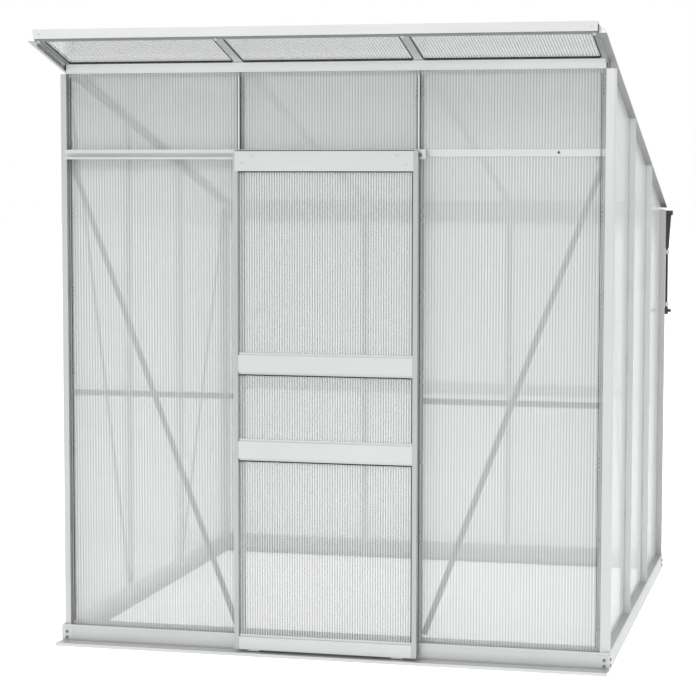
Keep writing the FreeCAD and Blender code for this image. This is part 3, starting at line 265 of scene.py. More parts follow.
def tube_along(name, points, radius, steps, roundness):
    """Round tube, still a curve, whose centre follows the points with eased bends."""
    deselect()
    bpy.ops.curve.primitive_nurbs_path_add(location=(0.0, 0.0, 0.0))
    tube = bpy.context.active_object
    tube.name = name
    tube.data.splines.clear()
    line = tube.data.splines.new("NURBS")
    line.points.add(len(points) - 1)
    for knot, point in zip(line.points, points):
        knot.co = (*point, 1.0)
    line.order_u = 3
    line.use_endpoint_u = True
    line.resolution_u = steps
    tube.data.bevel_depth = radius
    tube.data.bevel_resolution = roundness
    tube.data.use_fill_caps = True
    return tube


# Finishes
def start_material(name):
    material = bpy.data.materials.new(name)
    material.use_nodes = True
    shader = material.node_tree.nodes["Principled BSDF"]
    return material, material.node_tree, shader


def surface_noise(tree, scale, detail=2.0, coordinates=None):
    """Noise stretched by a scale for each axis, on object coordinates if no others are given."""
    if coordinates is None:
        coordinates = tree.nodes.new("ShaderNodeTexCoord").outputs["Object"]
    mapping = tree.nodes.new("ShaderNodeMapping")
    mapping.inputs["Scale"].default_value = scale
    noise = tree.nodes.new("ShaderNodeTexNoise")
    noise.inputs["Scale"].default_value = 1.0
    noise.inputs["Detail"].default_value = detail
    tree.links.new(coordinates, mapping.inputs["Vector"])
    tree.links.new(mapping.outputs["Vector"], noise.inputs["Vector"])
    return noise.outputs["Fac"]


def spread(tree, value, low, high):
    """Map the middle of a noise to a range of numbers."""
    ranged = tree.nodes.new("ShaderNodeMapRange")
    ranged.inputs["From Min"].default_value = 0.3
    ranged.inputs["From Max"].default_value = 0.7
    ranged.inputs["To Min"].default_value = low
    ranged.inputs["To Max"].default_value = high
    tree.links.new(value, ranged.inputs["Value"])
    return ranged.outputs["Result"]


def blend_colour(tree, value, first, second):
    mix = tree.nodes.new("ShaderNodeMix")
    mix.data_type = "RGBA"
    mix.inputs["A"].default_value = (*first, 1.0)
    mix.inputs["B"].default_value = (*second, 1.0)
    tree.links.new(value, mix.inputs["Factor"])
    return mix.outputs["Result"]


def raise_bumps(tree, shader, value, strength, distance):
    bump = tree.nodes.new("ShaderNodeBump")
    bump.inputs["Strength"].default_value = strength
    bump.inputs["Distance"].default_value = distance
    tree.links.new(value, bump.inputs["Height"])
    tree.links.new(bump.outputs["Normal"], shader.inputs["Normal"])


def calculate(tree, operation, first, second=0.0):
    """Output of a maths node; first and second are each a number or an output."""
    step = tree.nodes.new("ShaderNodeMath")
    step.operation = operation
    for socket, value in zip(step.inputs, (first, second)):
        if isinstance(value, float):
            socket.default_value = value
        else:
            tree.links.new(value, socket)
    return step.outputs[0]


def shade_of(colour, share):
    return tuple(channel * share for channel in colour)


def extruded_aluminium(along, share):
    """Mill-finish aluminium with faint die lines along one axis; its share is painted light and
    shade that makes the colour lighter or darker.
    """
    name = f"extruded_aluminium_{'xyz'[along]}_{round(share * 100)}"
    if name in bpy.data.materials:
        return bpy.data.materials[name]
    props = bpy.context.scene.greenhouse_finish
    material, tree, shader = start_material(name)
    lines_per_metre, lines_drawn_out = 420.0, 3.0
    scale = [lines_per_metre] * 3
    scale[along] = lines_drawn_out
    lines = surface_noise(tree, scale, detail=3.0)
    cloud = surface_noise(tree, (2.5, 2.5, 2.5), detail=4.0)
    # Painted light and shade: the share scales the metal's colour
    colour = shade_of(props.metal_colour, share)
    tint = blend_colour(tree, spread(tree, cloud, 0.0, 1.0), shade_of(colour, 0.95), colour)
    tree.links.new(tint, shader.inputs["Base Color"])
    rough = props.metal_roughness
    tree.links.new(spread(tree, lines, rough - 0.07, rough + 0.07), shader.inputs["Roughness"])
    raise_bumps(tree, shader, lines, 0.12, 0.0002)
    shader.inputs["Metallic"].default_value = props.metal_share
    return material


def clear_sheet(name, rib_shade, weakest, strongest):
    """Twin-wall sheet: pale, glossy and half clear, with a line of painted shade at each rib,
    stronger in some places than in others.
    """
    props = bpy.context.scene.greenhouse_finish
    material, tree, shader = start_material(name)
    cells = tree.nodes.new("ShaderNodeUVMap")
    cells.uv_map = "ribs"
    parts = tree.nodes.new("ShaderNodeSeparateXYZ")
    tree.links.new(cells.outputs["UV"], parts.inputs["Vector"])
    turns = calculate(tree, "MULTIPLY", parts.outputs["X"], 2.0 * math.pi)
    wave = calculate(tree, "COSINE", turns)
    rib_shade_unevenness = surface_noise(tree, (0.45, 1.1, 1.0), coordinates=cells.outputs["UV"])
    rib_shade_strength = spread(tree, rib_shade_unevenness, weakest, strongest)
    # Painted shade: the colour darkens along each rib, by an amount that changes across the sheet
    lines = calculate(tree, "SUBTRACT", 0.5, calculate(tree, "MULTIPLY", wave, rib_shade_strength))
    colour = tuple(props.sheet_colour)
    painted_rib_shade_colour = shade_of(colour, rib_shade)
    tree.links.new(blend_colour(tree, lines, painted_rib_shade_colour, colour), shader.inputs["Base Color"])
    shader.inputs["Roughness"].default_value = 0.16
    shader.inputs["IOR"].default_value = 1.58
    shader.inputs["Alpha"].default_value = props.sheet_alpha
    return material


def clear_cells(name):
    """The inner faces of a sheet's skins, almost clear."""
    props = bpy.context.scene.greenhouse_finish
    material, _, shader = start_material(name)
    shader.inputs["Base Color"].default_value = (*props.sheet_colour, 1.0)
    shader.inputs["Roughness"].default_value = 0.4
    shader.inputs["Alpha"].default_value = props.cell_alpha
    return material


def zinc_steel(name, colour, rough):
    """Zinc-plated steel with a fine grain."""
    material, tree, shader = start_material(name)
    grain = surface_noise(tree, (900.0, 900.0, 900.0))
    tree.links.new(spread(tree, grain, rough - 0.08, rough + 0.08), shader.inputs["Roughness"])
    tint = blend_colour(tree, grain, shade_of(colour, 0.78), colour)
    tree.links.new(tint, shader.inputs["Base Color"])
    shader.inputs["Metallic"].default_value = 1.0
    return material


def moulded(name, colour, rough, specular=0.4):
    """Moulded plastic or rubber with a fine grain."""
    material, tree, shader = start_material(name)
    grain = surface_noise(tree, (1400.0, 1400.0, 1400.0))
    tint = blend_colour(tree, grain, shade_of(colour, 0.85), colour)
    tree.links.new(tint, shader.inputs["Base Color"])
    tree.links.new(spread(tree, grain, rough - 0.05, rough + 0.08), shader.inputs["Roughness"])
    raise_bumps(tree, shader, grain, 0.2, 0.0001)
    shader.inputs["Specular IOR Level"].default_value = specular
    return material


def finish(name):
    """The named finish, made the first time it is asked for."""
    if name in bpy.data.materials:
        return bpy.data.materials[name]
    props = bpy.context.scene.greenhouse_finish
    recipes = {
        # The sheets' numbers are the brightness of the painted shade at their ribs, then its
        # weakest and strongest strength
        "wall_sheet": (clear_sheet, props.rib_shade, 0.24, 0.48),
        "door_sheet": (clear_sheet, 0.7 * props.rib_shade, 0.44, 0.5),
        "roof_sheet": (clear_sheet, props.roof_rib_shade, 0.48, 0.5),
        "clear_cells": (clear_cells,),
        "bright_zinc_steel": (zinc_steel, (0.62, 0.63, 0.64), 0.3),
        "dull_zinc_steel": (zinc_steel, (0.24, 0.245, 0.25), 0.5),
        "black_plastic": (moulded, (0.012, 0.012, 0.013), 0.5, 0.12),
        "hose_rubber": (moulded, (0.010, 0.010, 0.011), 0.6, 0.12),
        "grey_plastic": (moulded, (0.62, 0.63, 0.63), 0.45),
        "white_nylon": (moulded, (0.78, 0.78, 0.75), 0.4),
    }
    make, *values = recipes[name]
    return make(name, *values)


# Settings shown in the sidebar
class GreenhouseFinish(bpy.types.PropertyGroup):
    metal_colour: FloatVectorProperty(
        name="Metal colour", description="Colour of the aluminium sections", subtype="COLOR",
        size=3, min=0.0, max=1.0, default=(0.62, 0.63, 0.63))
    metal_roughness: FloatProperty(
        name="Metal roughness", description="How matt the mill finish is",
        default=0.42, min=0.1, max=1.0)
    metal_share: FloatProperty(
        name="Metal share", description="How metallic the sections look",
        default=0.8, min=0.0, max=1.0)
    sheet_colour: FloatVectorProperty(
        name="Sheet colour", description="Colour of the twin-wall sheets", subtype="COLOR",
        size=3, min=0.0, max=1.0, default=(0.94, 0.96, 0.95))
    # Painted shade: how bright the lines at the walls' ribs are
    rib_shade: FloatProperty(
        name="Rib shade", description="How bright the ribs look beside the cells",
        default=0.42, min=0.0, max=1.0)
    # Painted shade: how bright the lines at the roof's ribs are
    roof_rib_shade: FloatProperty(
        name="Roof rib shade", description="How bright the ribs of the roof look",
        default=0.15, min=0.0, max=1.0)
    sheet_alpha: FloatProperty(
        name="Sheet density", description="How much the outside of a skin hides",
        default=0.46, min=0.0, max=1.0)
    cell_alpha: FloatProperty(
        name="Cell density", description="How much the inside of a skin hides",
        default=0.05, min=0.0, max=1.0)


class GreenhouseSheets(bpy.types.PropertyGroup):
    rib_pitch: FloatProperty(
        name="Rib pitch", description="Distance between the ribs inside a sheet",
        default=0.010, unit="LENGTH")
    door_rib_pitch: FloatProperty(
        name="Door rib pitch", description="Distance between the ribs of the door's sheets",
        default=0.0087, unit="LENGTH")
    rib_thick: FloatProperty(
        name="Rib thickness", description="Thickness of a rib",
        default=0.0006, unit="LENGTH")
    skin_thick: FloatProperty(
        name="Skin thickness", description="Thickness of the two skins",
        default=0.0004, unit="LENGTH")


class GreenhouseStage(bpy.types.PropertyGroup):
    camera_place: FloatVectorProperty(
        name="Camera", description="Where the camera stands", subtype="XYZ", unit="LENGTH",
        size=3, default=(1.7366, -7.8986, 1.6333))
    camera_turn: FloatVectorProperty(
        name="Camera turn", description="How the camera is turned",
        subtype="EULER", unit="ROTATION", size=3,
        default=(math.radians(85.38), math.radians(-0.08), math.radians(13.51)))
    camera_lens: FloatProperty(
        name="Lens", description="Focal length in millimetres", default=110.1)
    sky_strength: FloatProperty(
        name="Sky", description="Strength of the even light from all round", default=0.8)
    key_power: FloatProperty(
        name="Key light", description="Power of the large lamp in front",
        default=250.0, unit="POWER")
    fill_power: FloatProperty(
        name="Fill light", description="Power of the lamp on the right",
        default=160.0, unit="POWER")
    inner_power: FloatProperty(
        name="Inner light", description="Power of the soft lamp for the light off the floor inside",
        default=15.0, unit="POWER")


class GreenhouseClips(bpy.types.PropertyGroup):
    wire_radius: FloatProperty(
        name="Wire radius", description="Radius of the clips' spring wire",
        default=0.001, unit="LENGTH")
    tall: FloatProperty(
        name="Height", description="Height of a clip along its bar",
        default=0.060, unit="LENGTH")
    reach: FloatProperty(
        name="Reach", description="How far a clip reaches over the sheet",
        default=0.014, unit="LENGTH")
    spacing: FloatProperty(
        name="Spacing", description="Distance between clips along a bar",
        default=0.27, unit="LENGTH")


# Twin-wall sheets
def twin_wall(name, wide, tall, rib_pitch, skins):
    """A hollow sheet with open cells: a grid with its cells taken out, pulled up to its height.

    It stands at the origin with its width along +X, its thickness along +Y and its ribs along +Z.
    skins are the finishes of its outside and of the inside of its cells.
    """
    props = bpy.context.scene.greenhouse_sheets
    cells = max(1, round((wide - props.rib_thick) / rib_pitch))
    pitch = (wide - props.rib_thick) / cells
    columns = 2 * cells + 1
    deselect()
    bpy.ops.mesh.primitive_grid_add(x_subdivisions=columns, y_subdivisions=3, size=1.0)
    sheet = bpy.context.active_object
    sheet.name = name
    depths = (0.0, props.skin_thick, SHEET_THICK - props.skin_thick, SHEET_THICK)
    for vertex in sheet.data.vertices:
        column = round((vertex.co.x + 0.5) * columns)
        row = round((vertex.co.y + 0.5) * 3)
        vertex.co.x = (column // 2) * pitch + (column % 2) * props.rib_thick
        vertex.co.y = depths[row]

    def in_cell(centre, _):
        from_rib = (centre.x / pitch - math.floor(centre.x / pitch)) * pitch
        in_core = depths[1] < centre.y < depths[2]
        return in_core and from_rib > props.rib_thick and centre.x < wide - props.rib_thick

    sheet.data.update()
    pick(sheet, "FACE", in_cell)
    bpy.ops.mesh.delete(type="FACE")
    bpy.ops.mesh.select_all(action="SELECT")
    bpy.ops.mesh.extrude_region_move(TRANSFORM_OT_translate={"value": (0.0, 0.0, tall)})
    bpy.ops.mesh.select_all(action="SELECT")
    bpy.ops.mesh.normals_make_consistent(inside=False)
    leave()
    map_ribs(sheet, pitch)
    for skin in skins:
        sheet.data.materials.append(finish(skin))
    sheet.active_material_index = 1

    def inside(centre, normal):
        in_core = depths[0] < centre.y < depths[3]
        from_side = min(centre.x, wide - centre.x)
        return in_core and from_side > HAIR and abs(normal.z) < 0.5

    pick(sheet, "FACE", inside)
    bpy.ops.object.material_slot_assign()
    leave()
    return sheet


def map_ribs(sheet, pitch):
    """UV map that counts the sheet's cells across it and its metres along them."""
    while sheet.data.uv_layers:
        sheet.data.uv_layers.remove(sheet.data.uv_layers[0])
    layer = sheet.data.uv_layers.new(name="ribs")
    for loop in sheet.data.loops:
        corner = sheet.data.vertices[loop.vertex_index].co
        layer.data[loop.index].uv = (corner.x / pitch, corner.z)


def upright_sheets(node, name, across, pitch, outside="wall_sheet"):
    """Sheets in the place of a node's slabs, with their ribs upright. across is the wall's axis.

    The tops of the side walls' sheets are cut to the roof's slope.
    """
    top_zone = 0.001
    sheets = []
    for corners in solids_of(node):
        low, high = span(corners)
        wide = high[across] - low[across]
        sheet = twin_wall(name, wide, high.z - low.z, pitch, (outside, "clear_cells"))
        if across == 0:
            place(sheet, Matrix.Translation(low))
        else:
            corner = Vector((high.x, low.y, low.z))
            place(sheet, Matrix.Translation(corner) @ Matrix.Rotation(math.radians(90.0), 4, "Z"))
            for vertex in sheet.data.vertices:
                if vertex.co.z > high.z - top_zone:
                    vertex.co.z -= ROOF_SLOPE * (vertex.co.y - low.y)
        sheets.append(sheet)
    return joined(sheets, name)


class GREENHOUSE_OT_wall_sheets(bpy.types.Operator):
    """Twin-wall sheets of the four walls, ribs upright"""
    bl_idname = "greenhouse.wall_sheets"
    bl_label = "Wall sheets"

    def execute(self, context):
        walls = (
            ("front_panel_left", "front_sheet_left", 0),
            ("front_panel_right", "front_sheet_right", 0),
            ("front_upper_panels", "front_sheets_upper", 0),
            ("side_panels_left", "side_sheets_left", 1),
            ("side_panels_right", "side_sheets_right", 1),
            ("rear_panels", "rear_sheets", 0),
        )
        for node, name, across in walls:
            sheet = upright_sheets(node, name, across, context.scene.greenhouse_sheets.rib_pitch)
            dress(sheet, "frame", None, node)
        return {"FINISHED"}


class GREENHOUSE_OT_door_sheets(bpy.types.Operator):
    """Twin-wall sheets of the sliding door"""
    bl_idname = "greenhouse.door_sheets"
    bl_label = "Door sheets"

    def execute(self, context):
        pitch = context.scene.greenhouse_sheets.door_rib_pitch
        for level in ("lower", "middle", "upper"):
            node = f"door_panel_{level}"
            sheet = upright_sheets(node, f"door_sheet_{level}", 0, pitch, "door_sheet")
            dress(sheet, "door", None, node)
        return {"FINISHED"}


class GREENHOUSE_OT_roof_sheets(bpy.types.Operator):
    """Twin-wall sheets of the roof, ribs along the slope"""
    bl_idname = "greenhouse.roof_sheets"
    bl_label = "Roof sheets"

    def execute(self, context):
        sheets = []
        pitch = context.scene.greenhouse_sheets.rib_pitch
        lying = Matrix.Rotation(math.radians(-90.0), 4, "X")
        down_slope = Matrix.Rotation(-ROOF_ANGLE, 4, "X") @ lying
        rise = SHEET_THICK * math.sin(ROOF_ANGLE)
        for corners in solids_of("roof_panels"):
            low, high = span(corners)
            wide = high.x - low.x
            long = (high.y - low.y - rise) / math.cos(ROOF_ANGLE)
            sheet = twin_wall("roof_sheet", wide, long, pitch, ("roof_sheet", "clear_cells"))
            front_top = Vector((low.x, low.y + rise, high.z))
            place(sheet, Matrix.Translation(front_top) @ down_slope)
            sheets.append(sheet)
        roof = joined(sheets, "roof_sheets")
        dress(roof, "frame", None, "roof_panels")
        return {"FINISHED"}


# Wire clips
def wire_clip():
    """W-shaped spring clip that starts at a fin and reaches over the sheet along +X."""
    props = bpy.context.scene.greenhouse_clips
    bends = []
    for step in range(5):
        bends.append(Vector((props.reach * (step % 2), 0.0, props.tall * step / 4)))
    points = [bends[0]]
    for first, second in zip(bends, bends[1:]):
        points += [first.lerp(second, 0.15), first.lerp(second, 0.85), second]
    wire = tube_along("wire_clip", points, props.wire_radius, steps=1, roundness=1)
    select_only(wire)
    bpy.ops.object.convert(target="MESH")
    return settle(bpy.context.active_object)


def clip_places(rows, turn):
    """Where clips stand: a row is the place along the wall, its side, the depth and the height."""
    off_fin = 0.0028
    places = []
    for along, side, depth, height in rows:
        flip = Matrix.Rotation(math.radians(0.0 if side > 0 else 180.0), 4, "Z")
        stand = Matrix.Translation((along + side * off_fin, -depth, height))
        places.append(Matrix.Rotation(math.radians(turn), 4, "Z") @ stand @ flip)
    return places


def rows_up(bars, depth, low, high, spacing):
    """Clip rows up each bar from low, a spacing apart, that start no higher than high."""
    heights = [low + spacing * step for step in range(int(max(0.0, high - low) / spacing) + 1)]
    return [(along, side, depth, height) for along, side in bars for height in heights]


class GREENHOUSE_OT_wire_clips(bpy.types.Operator):
    """Spring clips that press the sheets into the bars"""
    bl_idname = "greenhouse.wire_clips"
    bl_label = "Wire clips"

    def execute(self, context):
        props = context.scene.greenhouse_clips
        tall, spacing = props.tall, props.spacing
        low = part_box("wire_clips")[0].z
        on_sheet = WALL_FACE - FIN_DEEP + props.wire_radius
        on_flange = on_sheet - SHEET_THICK
        edges = (
            (-POST_X, 1), (-BAR_X, -1), (-BAR_X, 1), (BAR_X, -1), (BAR_X, 1), (POST_X, -1))
        posts = (edges[0], edges[5])
        outside_bars = (edges[1], edges[4])
        inside_bars = edges[2:4]
        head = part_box("head_rails")[0].z - tall
        rows = rows_up(outside_bars, on_sheet, low, head, spacing)
        self.fit("front_wire_clips", clip_places(rows, 0), "wire_clips")

        below_rail, door_low, door_spacing = 0.083, 0.157, 0.204
        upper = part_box("top_rail")[0].z - below_rail
        rows = rows_up(posts, on_sheet, low, head, spacing)
        rows += rows_up(inside_bars, on_flange, door_low, head, door_spacing)
        rows += [(along, side, on_sheet, upper) for along, side in edges]
        self.fit("post_and_door_bay_clips", clip_places(rows, 0))

        below_eave, below_gable = 0.03, 0.15
        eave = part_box("rear_bars")[1].z - tall - below_eave
        places = clip_places(rows_up(edges, on_sheet, low, eave, spacing), 180)
        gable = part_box("gable_bar_left")[1].z - tall - below_gable
        for turn, hand in ((90, 1), (-90, -1)):
            rows = []
            for along, side in edges:
                under = gable - ROOF_SLOPE * (hand * along - HOUSE_LOW.y)
                rows += rows_up(((along, side),), on_sheet, low, under, spacing)
            places += clip_places(rows, turn)
        self.fit("side_and_rear_wire_clips", places)
        return {"FINISHED"}

    def fit(self, name, places, node=None):
        """Set a clip at each place, as one piece."""
        clips = repeated(wire_clip(), places, name)
        dress(clips, "frame", finish("bright_zinc_steel"), node)


# Screws, nuts and bolt ends, modelled at the origin with their seat at z = 0
def round_bar(vertices, radius, tall, ease, segments=1):
    """Upright bar with as many sides as it has vertices, eased at its top rim."""
    deselect()
    bpy.ops.mesh.primitive_cylinder_add(
        vertices=vertices, radius=radius, depth=tall, location=(0.0, 0.0, tall / 2))
    bar = settle(bpy.context.active_object)
    top = tall - TOUCH
    pick(bar, "EDGE", lambda first, second: first.z > top and second.z > top)
    bpy.ops.mesh.bevel(offset=ease, segments=segments, affect="EDGES")
    leave()
    return bar


def screw_head(radius, tall):
    """Rounded head with a socket."""
    head = round_bar(20, radius, tall, tall * 0.6, segments=3)
    top = tall - TOUCH
    pick(head, "FACE", lambda centre, normal: normal.z > 0.99 and centre.z > top)
    bpy.ops.mesh.inset(thickness=radius * 0.15, depth=0.0)
    bpy.ops.mesh.extrude_region_move(TRANSFORM_OT_translate={"value": (0.0, 0.0, -tall * 0.35)})
    leave()
    return head


def bolt_end(radius, tall):
    """End of a bolt's shank."""
    return round_bar(12, radius, tall, radius * 0.25)


def nut_and_end(across_flats, tall, shank_radius, past):
    """Hexagonal nut with the end of its bolt standing out of it."""
    nut = round_bar(6, across_flats / math.sqrt(3.0), tall, tall * 0.14)
    return joined([nut, bolt_end(shank_radius, tall + past)], "nut")


def ends_of(corners):
    """Where the nuts sit on a slanted strap, near its top end and its bottom end."""
    low, high = span(corners)
    end_zone, inset = 0.03, 0.004
    ends = []
    for level, sign in ((high.z, -1), (low.z, 1)):
        near = [corner for corner in corners if abs(corner.z - level) < end_zone]
        middle = sum(near, Vector()) / len(near)
        ends.append(middle + Vector((0.0, 0.0, sign * inset)))
    return ends


class GREENHOUSE_OT_fasteners(bpy.types.Operator):
    """Nuts of the braces, ends of the base bolts, and the screws and bolts of the front"""
    bl_idname = "greenhouse.fasteners"
    bl_label = "Fasteners"

    def execute(self, context):
        nut = nut_and_end(across_flats=0.010, tall=0.005, shank_radius=0.003, past=0.003)
        self.fit("brace_nuts", nut, self.brace_places(), "dull_zinc_steel")
        tip = bolt_end(radius=0.003, tall=0.0015)
        self.fit("base_bolt_ends", tip, self.base_bolt_places(), "dull_zinc_steel")

        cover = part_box("door_head")[0].y
        places = [facing((along, cover, height), FORWARD) for along, height in COVER_SCREWS]
        head = screw_head(radius=0.0042, tall=0.0018)
        self.fit("cover_screws", head, places, "bright_zinc_steel", "door")

        along, height = HEAD_RAIL_SCREW
        seat = facing((along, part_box("head_rails")[0].y, height), FORWARD)
        heads = repeated(screw_head(radius=0.0042, tall=0.002), [seat], "head_rail_screw")
        dress(heads, "frame", finish("black_plastic"))

        low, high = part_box("roof_fascia")
        level = (low.z + high.z) / 2
        places = [facing((sign * FASCIA_SCREW_X, low.y, level), FORWARD) for sign in (-1.0, 1.0)]
        head = screw_head(radius=0.0035, tall=0.0014)
        self.fit("fascia_screws", head, places, "bright_zinc_steel")

        on_lip, below_fascia = high.y - 0.0014, low.z - 0.0075
        places = [
            facing((along, on_lip, below_fascia), FORWARD)
            for along in (-GABLE_BOLT_X, -BAR_X, BAR_X, GABLE_BOLT_X)]
        head = screw_head(radius=0.005, tall=0.003)
        self.fit("roof_bolts", head, places, "bright_zinc_steel")
        return {"FINISHED"}

    def fit(self, name, shape, places, steel, body="frame"):
        """Set the shape at each place, as one piece of steel."""
        dress(repeated(shape, places, name), body, finish(steel))

    def brace_places(self):
        """Seats on the inside of the braces, at both ends of each."""
        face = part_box("front_braces")[1].y
        places = []
        for corners in solids_of("front_braces"):
            for end in ends_of(corners):
                places.append(facing((end.x, face, end.z), (0.0, 1.0, 0.0)))
        for name, sign in (("left", 1.0), ("right", -1.0)):
            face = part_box(f"side_braces_{name}")[1 if sign > 0 else 0].x
            for corners in solids_of(f"side_braces_{name}"):
                for end in ends_of(corners):
                    places.append(facing((face, end.y, end.z), (sign, 0.0, 0.0)))
        return places

    def base_bolt_places(self):
        """Seats on the base's nuts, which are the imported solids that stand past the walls."""
        past_wall = 0.003
        places = []
        for corners in solids_of("base_corner_bolts"):
            low, high = span(corners)
            middle = (low + high) / 2
            for axis in (0, 1):
                if max(abs(low[axis]), abs(high[axis])) > WALL_FACE + past_wall:
                    out = Vector((0.0, 0.0, 0.0))
                    out[axis] = math.copysign(1.0, middle[axis])
                    seat = middle.copy()
                    seat[axis] = high[axis] if middle[axis] > 0.0 else low[axis]
                    places.append(facing(seat, out))
        return places


# Strips of painted shade, caps of painted highlight, and trim
def roof_level(depth, below_tips):
    """Height of a plane that lies below the tips of the roof's fins, at a depth of the house."""
    low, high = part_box("roof_bar_left")
    tips = high.z + ROOF_SLOPE * (low.y + ROOF_BAR_DEEP * math.sin(ROOF_ANGLE))
    return tips - ROOF_SLOPE * depth - below_tips / math.cos(ROOF_ANGLE)


def sloped_strip(x_span, along, below):
    """Strip along the roof's slope, between two depths below the tips of its fins."""
    tips = Vector((0.0, -WALL_FACE, roof_level(-WALL_FACE, 0.0)))
    slope = Matrix.Translation(tips) @ Matrix.Rotation(-ROOF_ANGLE, 4, "X")
    return block((x_span[0], along[0], -below[1]), (x_span[1], along[1], -below[0]), slope)


def eased(strips, name):
    """One piece made of strips, with their edges eased."""
    return ease_edges(joined(strips, name), 0.0003)


def front_wall_span():
    """Heights between which the strips of the front wall stand."""
    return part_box("base_front")[1].z + STRIP_GAP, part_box("top_rail")[0].z - STRIP_GAP


class GREENHOUSE_OT_roof_shade_strips(bpy.types.Operator):
    """Painted shade: black strips between the roof's sheets and the bars and rail below its
    overhang, where the gaps there fall into shade
    """
    bl_idname = "greenhouse.roof_seals"
    bl_label = "Roof shade strips"

    def execute(self, context):
        strips = []
        under_sheet = FIN_DEEP + SHEET_THICK + HAIR
        gable_inside, behind_fascia, shade_strip_wide = 0.9149, 0.024, 0.0045
        front = (HOUSE_LOW.y + behind_fascia + WALL_FACE) / math.cos(ROOF_ANGLE)
        low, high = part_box("roof_bar_left")
        for edge, side in ((-gable_inside, 1), (low.x - HAIR, -1), (high.x + HAIR, 1)):
            for mirror in (1, -1):
                x_span = sorted((mirror * edge, mirror * (edge + side * shade_strip_wide)))
                below = (under_sheet, ROOF_BAR_DEEP)
                strips.append(sloped_strip(x_span, (front, 0.0), below))

        # On the rail the painted shade is a wide strip with a narrower one below it, in each bay
        bays = ((-0.9101, -0.3294), (-0.2904, 0.2904), (0.3294, 0.9101))
        nose, wide_end, narrow_end = -0.0068, 0.001, -0.0015
        step, foot = 0.0286, 0.0312
        for x_span in bays:
            strips.append(sloped_strip(x_span, (nose, wide_end), (under_sheet, step)))
            strips.append(sloped_strip(x_span, (nose, narrow_end), (step, foot)))
        # Painted shade: the strips take the black rubber finish to stand for the shaded gaps
        dress(eased(strips, "roof_seals"), "frame", finish("hose_rubber"))
        return {"FINISHED"}


class GREENHOUSE_OT_fin_highlight_caps(bpy.types.Operator):
    """Painted highlight on the fins of the two front bars, as brighter aluminium caps, and painted
    shade under the fascia, as a darker lip
    """
    bl_idname = "greenhouse.bar_caps"
    bl_label = "Fin highlight caps"

    def execute(self, context):
        half_wide, thick = 0.0025, 0.0012
        foot, top = front_wall_span()
        track_low, track_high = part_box("door_track")
        caps = []
        for along in (-BAR_X, BAR_X):
            for start, end in ((foot, track_low.z - STRIP_GAP), (track_high.z + STRIP_GAP, top)):
                low = (along - half_wide, -WALL_FACE - thick, start)
                caps.append(block(low, (along + half_wide, -WALL_FACE, end)))
        # Painted highlight: the caps are aluminium at 1.2 of the metal's brightness, for the light
        # along the fins' edges
        dress(eased(caps, "bar_caps"), "frame", extruded_aluminium(along=2, share=1.2))
        low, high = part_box("roof_fascia")
        ahead, behind, hang, lap = 0.0015, 0.0005, 0.008, 0.0003
        lip = block(
            (low.x, high.y - ahead, low.z - hang), (high.x, high.y + behind, low.z + lap))
        lip = eased([lip], "fascia_lip")
        # Painted shade: the lip is aluminium at half the metal's brightness, for the shade under
        # the fascia
        dress(lip, "frame", extruded_aluminium(along=0, share=0.5))
        return {"FINISHED"}


class GREENHOUSE_OT_gable_ends(bpy.types.Operator):
    """Plates that close the open front ends of the two gable bars beside the fascia"""
    bl_idname = "greenhouse.gable_ends"
    bl_label = "Gable ends"

    def execute(self, context):
        gap, thick, tall = 0.0005, 0.001, 0.0293
        bar_low, bar_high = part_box("gable_bar_right")
        fascia_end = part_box("roof_fascia")[1].x
        wide = bar_high.x - fascia_end - gap
        foot = bar_high.z - GABLE_BAR_DEEP * math.cos(ROOF_ANGLE)
        plates = []
        for sign in (-1.0, 1.0):
            plate = block((0.0, -thick, 0.0), (wide, 0.0, tall))
            edit_all(plate)
            bpy.ops.mesh.bisect(
                plane_co=(0.0, 0.0, tall), plane_no=(tall, 0.0, wide),
                use_fill=True, clear_outer=True)
            leave()
            if sign < 0.0:
                place(plate, Matrix.Scale(-1.0, 4, (1.0, 0.0, 0.0)))
                edit_all(plate)
                bpy.ops.mesh.normals_make_consistent(inside=False)
                leave()
            corner = Matrix.Translation((sign * (fascia_end + gap), bar_low.y, foot))
            plates.append(place(plate, corner @ Matrix.Rotation(-ROOF_ANGLE, 4, "X")))
        ends = joined(plates, "gable_end_plates")
        # Painted light: the end plates take the fascia's 1.08 of the metal's brightness
        dress(ends, "frame", extruded_aluminium(along=0, share=1.08))
        return {"FINISHED"}


class GREENHOUSE_OT_wall_shade_strips(bpy.types.Operator):
    """Painted shade: black strips beside the fins of the front bars and inside the front posts,
    where the fins and posts shade the sheets
    """
    bl_idname = "greenhouse.wall_seals"
    bl_label = "Wall shade strips"

    def execute(self, context):
        beside_fin, inside_post, half_wide = 0.0036, 0.001, 0.0011
        behind_face, deep = 0.0015, 0.0055
        foot, top = front_wall_span()
        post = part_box("corner_post_front_right")[0].x
        places = (
            -BAR_X - beside_fin, -BAR_X + beside_fin, BAR_X - beside_fin, BAR_X + beside_fin,
            -post + inside_post, post - inside_post)
        strips = []
        for along in places:
            low = (along - half_wide, -WALL_FACE + behind_face, foot)
            strips.append(block(low, (along + half_wide, -WALL_FACE + deep, top)))
        # Painted shade: the strips take the black rubber finish to stand for the shade beside the
        # fins and posts
        dress(eased(strips, "wall_seals"), "frame", finish("hose_rubber"))
        return {"FINISHED"}


